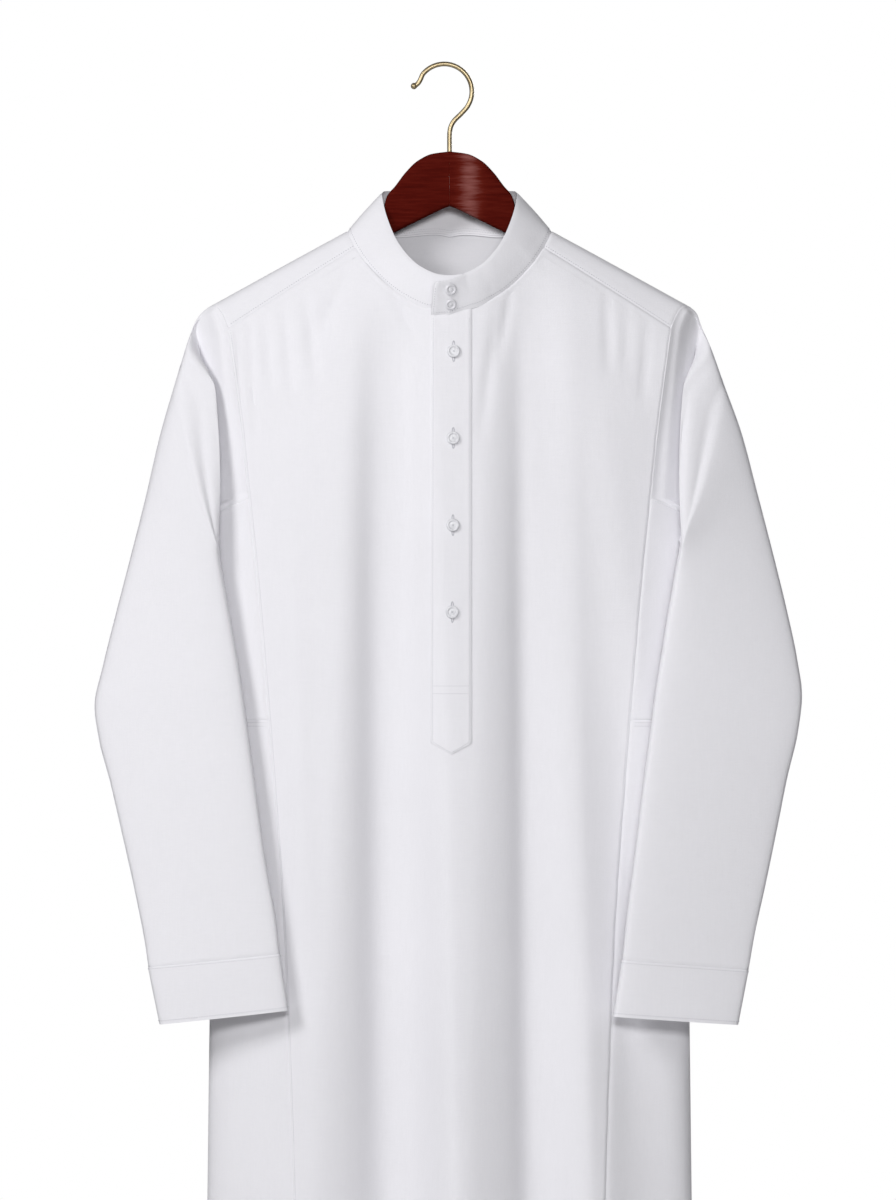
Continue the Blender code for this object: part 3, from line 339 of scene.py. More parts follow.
# how finely each piece is divided
SEAM_POINTS, HEM_POINTS, YOKE_POINTS = 700, 120, 80   # along lines of stitches
BACK_POINTS, SIDE_POINTS, COLLAR_POINTS = 200, 160, 500
PLACKET_POINTS, POINT_POINTS, BAR_POINTS = 300, 20, 40
NECK_COLUMNS, YOKE_COLUMNS, BACK_COLUMNS = 24, 26, 30
TIP_STEPS, ARM_STEPS, UNDERARM_STEPS = 10, 24, 24
UPPER_ROWS, LOWER_ROWS = 28, 90           # of the front and back, above and below the waist
SIDE_UPPER_ROWS, SIDE_LOWER_ROWS, SIDE_COLUMNS = 26, 84, 40
SLEEVE_ROWS, CUFF_ROWS = 130, 20
FAN_DOWN = 505.0            # rows follow the neck above this and are level below it
EDGE_CLEAR = 6              # the front's and back's even columns stop so far from a seam
SIDE_EVEN, SIDE_EDGE = 0.9, 0.012         # shares of a side panel: even columns, and 1 mm
UPPER_CLEAR, LOWER_CLEAR = (8, 8), (13, 30)     # from its even rows to its upper edge and lower
# where rows or columns lie: the first ones, an even run of so many steps, and the last ones
YOKE_SHARES = (0, 0.012, 0.03), (0.05, 0.95, 40), (0.97, 0.988, 1)
SLEEVE_RINGS = ((0, 0.1, 0.25), (0.4, CUFF_RING - 0.3, SLEEVE_ROWS),
                (CUFF_RING - 0.12, CUFF_RING - 0.04, CUFF_RING))
CUFF_RINGS = ((CUFF_RING, CUFF_RING + 0.025, CUFF_RING + 0.06, CUFF_RING + 0.1),
              (CUFF_RING + 0.14, LAST_RING - 0.08, CUFF_ROWS), (LAST_RING - 0.03, LAST_RING))
COLLAR_HEIGHTS = (-0.05, 0.0, 0.03, 0.07), (0.1, 0.92, 14), (0.955, 0.985, 1.0)
COLLAR_END_SHARES = (), (0.942, 0.99, 24), (0.994, 0.998, 1.0)
PLACKET_SHARES = (-1, -0.98, -0.95, -0.9), (-0.85, 0.85, 34), (0.9, 0.95, 0.98, 1)
PLACKET_RUNS = (), (0, 0.985, 200), (0.99, 0.995, 1)
BUTTON_SIDES, HOLE_SIDES, STRAND_SIDES = 64, 14, 8
BUTTONHOLE_SIDES, WOOD_SIDES, WIRE_SIDES = 96, 48, 28


def cubic(start, end, leaving, arriving, t):
    """The smooth way from start to end at share t, by its slopes at both."""
    return (start * (1 + 2 * t) * (1 - t) ** 2 + end * t * t * (3 - 2 * t)
            + leaving * t * (1 - t) ** 2 - arriving * t * t * (1 - t))


def smooth_between(keys, values, at):
    """Values along a monotone cubic through the rows, straight past the ends."""
    keys, values, at = (np.asarray(part, float) for part in (keys, values, at))
    steps = np.diff(keys)
    slopes = np.diff(values) / steps
    product, total = slopes[:-1] * slopes[1:], slopes[:-1] + slopes[1:]
    inner = np.where(product > 0, 2 * product / np.where(total == 0, 1, total), 0)
    tangents = np.concatenate((slopes[:1], inner, slopes[-1:]))
    span = np.clip(np.searchsorted(keys, at) - 1, 0, len(steps) - 1)
    step = steps[span]
    share = (at - keys[span]) / step
    t = np.clip(share, 0, 1)
    inside = cubic(values[span], values[span + 1], step * tangents[span],
                   step * tangents[span + 1], t)
    ends = np.where(share > 1, tangents[-1], tangents[0])
    return inside + (share - t) * step * ends


def column(table, number, at):
    """One column of a table, read at a value of its first column."""
    rows = np.array(table, float)
    return smooth_between(rows[:, 0], rows[:, number], at)


def half_width(down):
    return column(TRIM, 1, down)


def seam_x(down):
    """Distance of the long seam, and of the armhole above it, from the centre."""
    return column(TRIM, 2, down)


def ridge_down(x):
    return RIDGE_DOWN + RIDGE_SLOPE * (np.hypot(x, RIDGE_ROUND) - RIDGE_ROUND)


def depth_squared(x, down):
    """Square of the body's half depth, which reaches zero at the ridge and the sides."""
    rows = np.array(GIRTH, float)
    drop = down - ridge_down(x)
    along = smooth_between(rows[:, 0], rows[:, 1] ** 2, drop)
    narrowing = 1 - (1 - np.clip(drop / SHOULDER_DROP, 0, 1)) ** 3
    return along * (1 - narrowing * (x / half_width(down)) ** 2)


def folds(x, down, face):
    """How far the hanging folds stand out of the body's even form."""
    out = np.zeros(np.broadcast(x, down).shape)
    for (top_x, hem_x, right, hem_right, left, hem_left, start, depth
         ) in FRONT_FOLDS if face == FRONT else BACK_FOLDS:
        share = np.clip((down - start) / (HEM_DOWN - start), 0, 1)
        offset = x - top_x - (hem_x - top_x) * share
        spread = np.where(offset < 0, right + (hem_right - right) * share,
                          left + (hem_left - left) * share)
        across = np.clip(offset / spread, -1, 1)
        out = out + depth * share ** FOLD_GROWTH * np.cos(across * math.pi / 2) ** 2
    return out * np.clip(FOLD_FADE * (1 - (x / half_width(down)) ** 4), 0, 1)


def body(x, down, face, out=0.0):
    """Points on the body, moved out along its normal; face tells front from back."""
    x, down, face = np.broadcast_arrays(np.asarray(x, float), down, face)
    reach = 0.5
    root = np.sqrt(np.clip(depth_squared(x, down), 0, None))
    lift = np.where(face == FRONT, folds(x, down, FRONT), folds(x, down, BACK))

    def slope(dx, ddown):
        square = depth_squared(x + dx, down + ddown) - depth_squared(x - dx, down - ddown)
        rise = [folds(x + dx, down + ddown, side) - folds(x - dx, down - ddown, side)
                for side in (FRONT, BACK)]
        return (square + 2 * root * np.where(face == FRONT, *rise)) / (2 * reach)

    normal = np.stack((-slope(reach, 0), 2 * face * root, slope(0, reach)), -1)
    normal /= np.linalg.norm(normal, axis=-1, keepdims=True)
    points = np.stack((x, face * (root + lift), -down), -1)
    return points + normal * out


def shoulder(x, root, out=0.0):
    """Points on the body by the root of the drop below the ridge, negative in front."""
    x, root = np.broadcast_arrays(np.asarray(x, float), root)
    return body(x, ridge_down(x) + root ** 2, np.where(root < 0, FRONT, BACK), out)


def steps(start, end, count):
    return np.linspace(start, end, count + 1)


def crowded(first, run, last):
    """Values at even steps, and closer at one or both ends."""
    return np.concatenate((first, steps(*run), last))


def full_turn(count):
    return steps(0, 2 * math.pi, count)[:-1]


# ---- seam lines

def neck_root(angle):
    """Root of the drop along the neck seam; the ring is even about the centre."""
    return column(NECK, 1, np.abs(angle))


def neck_x(angle):
    return NECK_HALF * np.sin(np.radians(angle))


def yoke_seam_root(x):
    (near, near_drop), (far, far_drop) = YOKE_SEAM
    share = (np.abs(x) - near) / (far - near)
    return -(math.sqrt(near_drop) + (math.sqrt(far_drop) - math.sqrt(near_drop)) * share)


def tip_edge(corner_down, face, count):
    """Yoke and sleeve seam from the shoulder's tip down to a corner."""
    corner_x = float(seam_x(corner_down))
    share = steps(0, 1, count)
    x = TIP_X + (corner_x - TIP_X) * share
    root = face * math.sqrt(corner_down - ridge_down(corner_x)) * share
    return x, ridge_down(x) + root ** 2, np.full(count + 1, face)


def turn_at_seam(down, spare=0.0):
    """Angle round the body's side at which the long seam lies."""
    return np.arccos((seam_x(down) + spare) / half_width(down))


def underarm(share):
    """Seam under the arm; share runs from -1 in front through 0 at the side to 1 behind."""
    down = ARM_CORNER_DOWN + UNDERARM_DIP * (1 - np.abs(share) ** UNDERARM_ROUND)
    x = half_width(down) * np.cos(share * turn_at_seam(down))
    return x, down, np.where(share < 0, FRONT, BACK)


ARM_FRONT = steps(FRONT_CORNER_DOWN, ARM_CORNER_DOWN, ARM_STEPS)
ARM_BACK = steps(BACK_CORNER_DOWN, ARM_CORNER_DOWN, ARM_STEPS)
UPPER = steps(ARM_CORNER_DOWN, SIDE_SEAM_DOWN, UPPER_ROWS)
LOWER = steps(SIDE_SEAM_DOWN, HEM_DOWN, LOWER_ROWS)


# ---- meshes

def add_object(name, data):
    thing = bpy.data.objects.new(name, data)
    bpy.context.scene.collection.objects.link(thing)
    return thing


def new_piece(name, mesh, finish, nodes=(), sharp=40):
    """A piece that rides on the root body and stands for the named CAD nodes."""
    mesh.materials.clear()
    mesh.materials.append(finish)
    piece = add_object(name, mesh)
    mesh.shade_smooth()
    mesh.set_sharp_from_angle(angle=math.radians(sharp))
    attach(piece, "root")
    if nodes:
        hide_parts(*nodes)
    return piece


def mesh_of(name, points, faces):
    """A mesh in metres from points in millimetres, with its faces turned outward."""
    mesh = bpy.data.meshes.new(name)
    mesh.from_pydata((np.asarray(points) * MM).tolist(), [], faces)
    shape = bmesh.new()
    shape.from_mesh(mesh)
    bmesh.ops.recalc_face_normals(shape, faces=shape.faces)
    shape.to_mesh(mesh)
    shape.free()
    return mesh


def wall(name, outer, inner, ring=False):
    """A mesh of a thin cloth wall between two grids of points."""
    rows, columns = outer.shape[:2]
    count = rows * columns
    last = columns if ring else columns - 1
    row, place = (part.ravel() for part in np.mgrid[0:rows - 1, 0:last])
    after = (place + 1) % columns
    sheet = np.stack((row * columns + place, row * columns + after,
                      (row + 1) * columns + after, (row + 1) * columns + place), -1)
    faces = [sheet, sheet[:, ::-1] + count]
    line = np.arange(last)
    after = (line + 1) % columns
    for start in (0, (rows - 1) * columns):
        faces.append(np.stack((start + line, start + after, count + start + after,
                               count + start + line), -1))
    if not ring:
        line = np.arange(rows - 1) * columns
        for start in (0, columns - 1):
            faces.append(np.stack((start + line, start + line + columns,
                                   count + start + line + columns, count + start + line), -1))
    points = np.concatenate((outer.reshape(-1, 3), inner.reshape(-1, 3)))
    return mesh_of(name, points, np.concatenate(faces).tolist())


def cloth_piece(name, node, outer, inner, ring=False):
    """A fabric sheet: a thin wall that stands for one CAD node."""
    piece = new_piece(name, wall(name, outer, inner, ring), finishes["cloth"],
                      [node])


def tube_faces(rings, count):
    """Four-sided faces between rings of so many points, each ring closed on itself."""
    return [(ring * count + place, ring * count + (place + 1) % count,
             (ring + 1) * count + (place + 1) % count, (ring + 1) * count + place)
            for ring in range(rings - 1) for place in range(count)]


def tube(name, rings, caps=False):
    """A mesh through rings of points, closed at both ends if it has caps."""
    number, count = rings.shape[:2]
    faces = tube_faces(number, count)
    if caps:
        faces += [tuple(range(count)), tuple(range((number - 1) * count, number * count))]
    return mesh_of(name, rings.reshape(-1, 3), faces)


def swell(distance, wide):
    """A soft bump of height 1 at distance 0, which has faded at twice its width."""
    return np.exp(-(distance / wide) ** 2)


def unit(vectors):
    return vectors / np.maximum(np.linalg.norm(vectors, axis=-1, keepdims=True), 1e-9)


def grid_normal(grid, ring=False):
    """Normals of a grid of points, one sign throughout."""
    along = np.gradient(grid, axis=0)
    if ring:
        across = np.roll(grid, -1, axis=1) - np.roll(grid, 1, axis=1)
    else:
        across = np.gradient(grid, axis=1)
    return unit(np.cross(along, across))


# ---- creases and seams

def crease(x, down, rows):
    """Height of the listed soft troughs and ridges, each along a line between two ends."""
    out = np.zeros(np.broadcast(x, down).shape)
    for start_x, start_down, end_x, end_down, width, depth in rows:
        run_x, run_down = end_x - start_x, end_down - start_down
        length = math.hypot(run_x, run_down)
        along = ((x - start_x) * run_x + (down - start_down) * run_down) / length
        side = ((x - start_x) * run_down - (down - start_down) * run_x) / length
        share = np.clip(along / length, 0, 1)
        ends = np.sin(share * math.pi) ** CREASE_END
        spread = width * (CREASE_START_WIDE + CREASE_GROWTH * share)
        out = out + depth * ends * np.exp(-(side / spread) ** 2 * CREASE_SHARP)
    return out


def seam_dip(distance):
    """A pressed seam: the cloth turns in at the edge and stands a little proud beside it."""
    distance = np.abs(distance)
    return (SEAM_PROUD * swell(distance - PROUD_AT, PROUD_WIDE)
            - SEAM_DEEP * swell(distance, SEAM_WIDE))


def pucker(along, seed):
    """Faint uneven gathers along a sewn edge, as thread tension leaves them."""
    return 0.5 * (np.sin(along / 6.1 + seed) * np.sin(along / 23.0 + 2.1 * seed)
                  + 0.6 * np.sin(along / 9.7 + 1.7 * seed) * np.sin(along / 41.0 + seed))


# ---- stitches

def stitches(name, lines, size=STITCH_SIZE):
    """Rows of thread stitches, each a slim diamond, joined into one piece."""
    points, faces = [], []
    for line, outward in lines:
        step = np.linalg.norm(np.diff(line, axis=0), axis=1)
        reach = np.concatenate(([0], np.cumsum(step)))
        for start in np.arange(STITCH_GAP, reach[-1] - STITCH_LONG, STITCH_LONG + STITCH_GAP):
            ends = np.array([start, start + STITCH_LONG / 2, start + STITCH_LONG])
            at = np.stack([np.interp(ends, reach, line[:, i]) for i in range(3)], -1)
            out = unit(np.array([np.interp(ends[1], reach, outward[:, i]) for i in range(3)]))
            along = unit(at[2] - at[0])
            side = np.cross(along, out)
            base = len(points)
            points += [at[0] - out * size, at[1] + side * size, at[1] + out * size,
                       at[1] - side * size, at[1] - out * size, at[2] - out * size]
            for a, b in ((1, 2), (2, 3), (3, 4), (4, 1)):
                faces.append((base, base + a, base + b))
                faces.append((base + 5, base + b, base + a))
    new_piece(name, mesh_of(name, points, faces), finishes["thread"], sharp=80)


def body_line(x, down, face, inset_out=STITCH_LIFT):
    """A line of points just off the body, with its outward directions."""
    low = body_surface(x, down, face)
    high = body_surface(x, down, face, 1.0)
    outward = unit(high - low)
    return low + outward * inset_out, outward


def hem_line(face):
    reach = seam_x(HEM_DOWN) - STITCH_TOP
    across = steps(-reach, reach, HEM_POINTS)
    return body_line(across, HEM_DOWN - HEM_TURN, face)


# ---- body panels

def body_surface(x, down, face, out=0.0):
    """The body with its creases, which the seams and stitches follow too."""
    x, down, face = np.broadcast_arrays(np.asarray(x, float), down, face)
    lift = np.where(face == FRONT, crease(x, down, FRONT_CREASES), crease(x, down, BACK_CREASES))
    return body(x, down, face, (lift + out)[..., None])


def body_wall(x, down, face, out):
    """Outer and inner points of the cloth over the body."""
    return body_surface(x, down, face, out), body_surface(x, down, face, out - SHELL)


def front_grid():
    """Grid of x and down for the front, whose top follows the neck and the yoke seams."""
    near = YOKE_SEAM[0][0]
    far = float(seam_x(FRONT_CORNER_DOWN))
    half = np.concatenate((steps(0, near, NECK_COLUMNS),
                           steps(near, far - EDGE_CLEAR, YOKE_COLUMNS)[1:],
                           far - np.array(EDGE_COLUMNS)))
    top_x = np.concatenate((-half[:0:-1], half))
    angle = np.degrees(np.arcsin(np.clip(np.abs(top_x) / NECK_HALF, 0, 1)))
    in_neck = np.abs(top_x) < near - 0.01
    root = np.where(in_neck, neck_root(angle), yoke_seam_root(top_x))
    top = ridge_down(top_x) + root ** 2
    first = FRONT_CORNER_DOWN + np.array(EDGE_ROWS)
    down = np.concatenate((first, ARM_FRONT[1:], UPPER[1:], LOWER[1:-1], HEM_DOWN - first[::-1]
                           + FRONT_CORNER_DOWN))
    fade = np.clip(1 - (down - FRONT_CORNER_DOWN) / (FAN_DOWN - FRONT_CORNER_DOWN), 0, 1)
    fade = fade ** FAN_EASE
    downs = down[:, None] + (top - FRONT_CORNER_DOWN)[None, :] * fade[:, None]
    edge = seam_x(np.maximum(down, FRONT_CORNER_DOWN))
    return edge[:, None] * (top_x / far)[None, :], downs, edge[:, None], top[None, :]


def build_front():
    x, down, edge, top = front_grid()
    along = down - FRONT_CORNER_DOWN
    side = np.where(x < 0, *PUCKER_SEEDS)
    out = (seam_dip(edge - np.abs(x)) + seam_dip(down - top)
           + PUCKER_HIGH * pucker(along, side) * swell(edge - np.abs(x), PUCKER_WIDE)
           + seam_dip(HEM_DOWN - HEM_TURN - down) * HEM_PRESS)
    cloth_piece("robe_front", "front", *body_wall(x, down, FRONT, out))
    lines = []
    run = steps(FRONT_CORNER_DOWN + STITCH_TOP, HEM_DOWN - STITCH_FOOT, SEAM_POINTS)
    across = steps(YOKE_SEAM[0][0] + STITCH_TOP, YOKE_SEAM[1][0] - STITCH_TOP, YOKE_POINTS)
    seam = ridge_down(across) + yoke_seam_root(across) ** 2
    for side in (RIGHT, LEFT):
        lines.append(body_line(side * (seam_x(run) - STITCH_IN), run, FRONT))
        lines.append(body_line(side * across, seam - STITCH_IN, FRONT))
    lines.append(hem_line(FRONT))
    stitches("stitches_front", lines)


def build_back():
    rows = BACK_CORNER_DOWN + np.array(EDGE_ROWS)
    down = np.concatenate((rows, ARM_BACK[1:], UPPER[1:], LOWER[1:-1],
                           HEM_DOWN + BACK_CORNER_DOWN - rows[::-1]))
    edge = seam_x(down)[:, None]
    reach = YOKE_SEAM[1][0]
    share = steps(-1, 1, 2 * BACK_COLUMNS) * (1 - EDGE_CLEAR / reach)
    share = np.concatenate((-1 + np.array(EDGE_COLUMNS[::-1]) / reach, share,
                            1 - np.array(EDGE_COLUMNS) / reach))
    x = edge * share[None, :]
    down = down[:, None] + x * 0
    out = (seam_dip(edge - np.abs(x)) + seam_dip(down - BACK_CORNER_DOWN)
           + seam_dip(HEM_DOWN - HEM_TURN - down) * HEM_PRESS)
    cloth_piece("robe_back", "back", *body_wall(x, down, BACK, out))
    run = steps(BACK_CORNER_DOWN + STITCH_TOP, HEM_DOWN - STITCH_FOOT, SEAM_POINTS)
    lines = [body_line(side * (seam_x(run) - STITCH_IN), run, BACK)
             for side in (RIGHT, LEFT)]
    across = steps(-BACK_STITCH_X, BACK_STITCH_X, BACK_POINTS)
    lines.append(body_line(across, BACK_CORNER_DOWN - STITCH_IN, BACK))
    lines.append(hem_line(BACK))
    stitches("stitches_back", lines)


def build_yoke():
    """Strips from the neck seam out to the armholes, the tips and the back yoke seam."""
    corner_x = float(seam_x(BACK_CORNER_DOWN))
    start = math.degrees(math.asin(YOKE_SEAM[0][0] / NECK_HALF))
    angles = np.concatenate((steps(start, 90, TIP_STEPS),
                             steps(90, BACK_CORNER_TURN, TIP_STEPS)[1:],
                             steps(BACK_CORNER_TURN, 180, BACK_COLUMNS)[1:]))
    front_x, front_down, _ = tip_edge(FRONT_CORNER_DOWN, FRONT, TIP_STEPS)
    back_x, back_down, _ = tip_edge(BACK_CORNER_DOWN, BACK, TIP_STEPS)
    seam = steps(corner_x, 0, BACK_COLUMNS)[1:]
    edge_x = np.concatenate((front_x[::-1], back_x[1:], seam))
    edge_root = np.concatenate((
        -np.sqrt(front_down - ridge_down(front_x))[::-1],
        np.sqrt(back_down - ridge_down(back_x))[1:],
        np.sqrt(BACK_CORNER_DOWN - ridge_down(seam))))
    inner_x, inner_root = neck_x(angles), neck_root(angles)
    share = crowded(*YOKE_SHARES)[:, None]
    x = inner_x + (edge_x - inner_x) * share
    root = inner_root + (edge_root - inner_root) * share
    x = np.concatenate((x, -x[:, -2::-1]), axis=1)
    root = np.concatenate((root, root[:, -2::-1]), axis=1)
    turn = np.concatenate((angles, 360 - angles[-2::-1]))[None, :]
    reach = YOKE_WIDE * np.minimum(share, 1 - share)
    ends = np.minimum(turn - start, 360 - start - turn)
    out = seam_dip(reach) + seam_dip(ends * YOKE_DEGREE)
    down, face = ridge_down(x) + root ** 2, np.where(root < 0, FRONT, BACK)
    cloth_piece("robe_yoke", "yoke", *body_wall(x, down, face, out))


def side_grid(downs, side, share):
    """Points round the body's side at each row of downs, from front seam to back seam."""
    x = half_width(downs) * np.cos(share * turn_at_seam(downs))
    return side * x, downs, np.where(share < 0, FRONT, BACK) + np.zeros(downs.shape, int)


def build_sides():
    inside = steps(-1, 1, SIDE_COLUMNS) * SIDE_EVEN
    edge = 1 - np.array(EDGE_COLUMNS) * SIDE_EDGE
    share = np.concatenate((-edge[::-1], inside, edge))[None, :]
    _, arm_down, _ = underarm(share)
    first = np.array(EDGE_ROWS)
    below, above = UPPER_CLEAR
    plain = crowded(ARM_CORNER_DOWN + first,
                    (ARM_CORNER_DOWN + below, SIDE_SEAM_DOWN - above, SIDE_UPPER_ROWS),
                    SIDE_SEAM_DOWN - first[::-1])[:, None]
    fade = np.clip((SIDE_SEAM_DOWN - plain) / (SIDE_SEAM_DOWN - ARM_CORNER_DOWN), 0, 1)
    upper = plain + (arm_down - ARM_CORNER_DOWN) * fade
    below, above = LOWER_CLEAR
    lower = crowded(SIDE_SEAM_DOWN + first,
                    (SIDE_SEAM_DOWN + below, HEM_DOWN - above, SIDE_LOWER_ROWS),
                    HEM_DOWN - first[::-1])[:, None] + 0 * share
    for side, word in SIDES:
        rim = SIDE_REACH * (1 - np.abs(share))
        for part, downs, top, bottom in (("upper", upper, arm_down, SIDE_SEAM_DOWN),
                                         ("lower", lower, SIDE_SEAM_DOWN, math.inf)):
            out = seam_dip(rim) + seam_dip(downs - top) + seam_dip(bottom - downs)
            out = out + seam_dip(HEM_DOWN - HEM_TURN - downs) * HEM_PRESS - SIDE_TUCK
            name = f"side_{part}_{word}"
            cloth_piece(f"robe_{name}", name, *body_wall(*side_grid(downs, side, share), out))
        turn = steps(-SIDE_STITCH_REACH, SIDE_STITCH_REACH, SIDE_POINTS)
        rows = [SIDE_SEAM_DOWN + row * STITCH_IN for row in SIDE_STITCH_ROWS]
        lines = [body_line(*side_grid(np.full(turn.shape, down), side, turn))
                 for down in (*rows, HEM_DOWN - HEM_TURN)]
        stitches(f"stitches_side_{word}", lines)


# ---- sleeves

def armhole_ring():
    """Armhole from the tip down the front, under the arm and up the back."""
    front = tip_edge(FRONT_CORNER_DOWN, FRONT, TIP_STEPS)
    back = tip_edge(BACK_CORNER_DOWN, BACK, TIP_STEPS)
    below = underarm(steps(-1, 1, UNDERARM_STEPS))
    pieces = (
        front,
        (seam_x(ARM_FRONT[1:-1]), ARM_FRONT[1:-1], np.full(ARM_STEPS - 1, FRONT)),
        below,
        (seam_x(ARM_BACK[-2:0:-1]), ARM_BACK[-2:0:-1], np.full(ARM_STEPS - 1, BACK)),
        tuple(part[:0:-1] for part in back),
    )
    return (np.concatenate(parts) for parts in zip(*pieces))


def sleeve_points(rings, side):
    """Outer points of a sleeve at the given rings, with where each lies across it."""
    arm_x, arm_down, face = armhole_ring()
    armhole = body_surface(side * arm_x, arm_down, face) * (side, 1, 1)
    bottom = TIP_STEPS + ARM_STEPS + UNDERARM_STEPS // 2
    line = (armhole[bottom] - armhole[0])[[0, 2]]
    length = np.hypot(*line)
    line = line / length
    offset = (armhole - armhole[0])[:, [0, 2]]
    along = offset @ line / length
    bulge = offset @ np.array((line[1], -line[0]))
    front = np.arange(len(arm_x)) <= bottom
    round_off = np.clip(4 * along * (1 - along), 0, 1) ** FLAT_ROUND[side]
    edges = np.array(SLEEVE_EDGES[side], float)
    grid = []
    for ring in rings:
        outer_x, outer_down, inner_x, inner_down = (column(edges, i, ring) for i in (1, 2, 3, 4))
        outer_y, inner_y, fore, aft = (column(SLEEVE_FORM, i, ring) for i in (1, 2, 3, 4))
        puff, hold, tuck = (column(SLEEVE_HEAD, i, ring) for i in (1, 2, 3))
        chord = np.array((inner_x - outer_x, outer_down - inner_down))
        across = np.array((chord[1], -chord[0])) / np.hypot(*chord)
        reach = bulge * np.where(front, puff, puff ** 2)
        near_head = swell(ring - HEAD_RING, HEAD_WIDE)
        fold = HEAD_FOLD[side] * near_head * (1 - along ** 2)
        start = np.clip(along / HEAD_EDGE, 0, 1)
        x = (outer_x + chord[0] * along + across[0] * reach
             - np.where(front, fold * start ** 2 * (3 - 2 * start), 0))
        z = -outer_down + chord[1] * along + across[1] * reach
        lean = 1 + SLEEVE_LEAN[side] * (along - 0.5)
        thick = np.where(front, (tuck - fore + HEAD_SINK * near_head) * round_off * lean,
                         aft * round_off * (1 - BACK_TUCK * along ** 2))
        y = outer_y + (inner_y - outer_y) * along + thick
        y = hold * armhole[:, 1] + (1 - hold) * y
        grid.append(np.stack((side * x, y, z), -1))
    grid = np.array(grid)
    near = np.clip(1 - np.asarray(rings, float), 0, 1)[:, None, None]
    start = armhole * (side, 1, 1)
    grid = np.where(near > 0, start * near ** 2 + grid * (1 - near ** 2), grid)
    return grid, along, front


def build_sleeves():
    for side, word in SIDES:
        rings = crowded(*SLEEVE_RINGS)
        grid, along, front = sleeve_points(rings, side)
        normal = -side * grid_normal(grid, ring=True)
        where = rings[:, None] + 0 * along
        out = (crease(along, where, SLEEVE_CREASES[side]) * front
               + crease(along, where, SLEEVE_BACK_CREASES) * ~front)
        out = (out + seam_dip(where * HEAD_RING_LONG)
               + seam_dip((CUFF_RING - where) * ARM_RING_LONG))
        outer = grid + normal * out[..., None]
        cloth_piece(f"robe_sleeve_{word}", f"sleeve_{word}", outer, outer - normal * SHELL,
                    ring=True)
        rings = crowded(*CUFF_RINGS)
        grid, along, front = sleeve_points(rings, side)
        normal = -side * grid_normal(grid, ring=True)
        where = rings[:, None] + 0 * along
        out = CUFF_PROUD + seam_dip((where - CUFF_RING) * CUFF_RING_LONG)
        outer = grid + normal * out[..., None]
        cloth_piece(f"robe_cuff_{word}", f"cuff_{word}", outer, outer - normal * CUFF_SHELL,
                    ring=True)
        lines = []
        for ring in CUFF_STITCH_RINGS:
            line, _, _ = sleeve_points([ring - RING_STEP, ring, ring + RING_STEP], side)
            outward = -side * grid_normal(line, ring=True)[1]
            loop = np.concatenate((line[1], line[1, :1]))
            outward = np.concatenate((outward, outward[:1]))
            lines.append((loop + outward * (CUFF_PROUD + CUFF_STITCH_LIFT), outward))
        stitches(f"stitches_cuff_{word}", lines)


# ---- collar and placket

def collar_point(angle, height, out=0.0):
    """Points on the collar by the angle round the neck and the share of its height."""
    turn = np.abs((angle + 180) % 360 - 180)
    sign = np.where((angle + 180) % 360 - 180 < 0, -1, 1)
    base = shoulder(neck_x(turn), neck_root(turn), np.asarray(out)[..., None])
    x, down, right_y, left_y = (column(COLLAR_TOP, i, turn) for i in (1, 2, 3, 4))
    top = np.stack((x, np.where(sign < 0, right_y, left_y), -down), -1)
    outward = np.stack((np.sin(np.radians(turn)), -np.cos(np.radians(turn)), turn * 0), -1)
    top = top + outward * np.asarray(out)[..., None]
    height = np.asarray(height)[..., None]
    points = base + (top - base) * height + outward * COLLAR_BOW * np.sin(math.pi * height)
    points[..., 0] *= sign
    return points


def collar_wall(angle, height, out=0.0):
    """Outer and inner points of the collar, whose tab end lies over its other end."""
    start = -360 + math.degrees(math.asin(TAB_RIGHT_X / NECK_HALF))
    end = -360 + math.degrees(math.asin(TAB_LEFT_X / NECK_HALF))
    reach = np.clip((start - angle) / (start - end), 0, 1)
    lift = TAB_LIFT * np.clip((start + TAB_RAMP - angle) / TAB_RAMP, 0, 1)
    lift = lift + TAB_TILT * reach * height
    droop = TAB_DROOP * reach
    sides = collar_point(angle, height, lift + out), collar_point(angle, height, lift - SHELL)
    for points in sides:
        points[..., 2] -= droop
    return sides


def build_collar():
    under = math.degrees(math.asin(UNDER_END_X / NECK_HALF))
    over = -360 - math.degrees(math.asin(-TAB_LEFT_X / NECK_HALF))
    height = crowded(*COLLAR_HEIGHTS)[:, None]
    share = np.concatenate((steps(0, 0.94, 230), crowded(*COLLAR_END_SHARES)))
    corner = np.clip((height - (1 - TAB_CORNER)) / TAB_CORNER, 0, 1)
    end = over + TAB_CORNER_TURN * (1 - np.sqrt(1 - corner ** 2))
    angle = under + (end - under) * share[None, :]
    height = height + 0 * angle
    from_end = (angle - end) * NECK_DEGREE
    above = height * COLLAR_TALL
    out = 0
    for at_end, place, high, wide in COLLAR_RISES:
        out = out + high * swell((from_end if at_end else above) - place, wide)
    out = out - np.where(height < 0, COLLAR_TUCK, 0)
    cloth_piece("robe_collar", "collar", *collar_wall(angle, height, out))
    lines = []
    around = steps(under - COLLAR_STITCH_START, over + COLLAR_STITCH_STOP, COLLAR_POINTS)
    rise = steps(*TAB_STITCH)
    for turn, level in ((around, COLLAR_STITCH_UP / COLLAR_TALL + around * 0),
                        (over + TAB_STITCH_IN + rise * 0, rise)):
        line, _ = collar_wall(turn, level, COLLAR_STITCH_LIFT)
        lines.append((line, unit(line - collar_wall(turn, level)[1])))
    turn = steps(*INNER_STITCH)
    for level in INNER_LEVELS:
        inner = collar_wall(turn, level + turn * 0)
        inward = unit(inner[1] - inner[0])
        lines.append((inner[1] + inward * INNER_LIFT, inward))
    stitches("stitches_collar", lines)


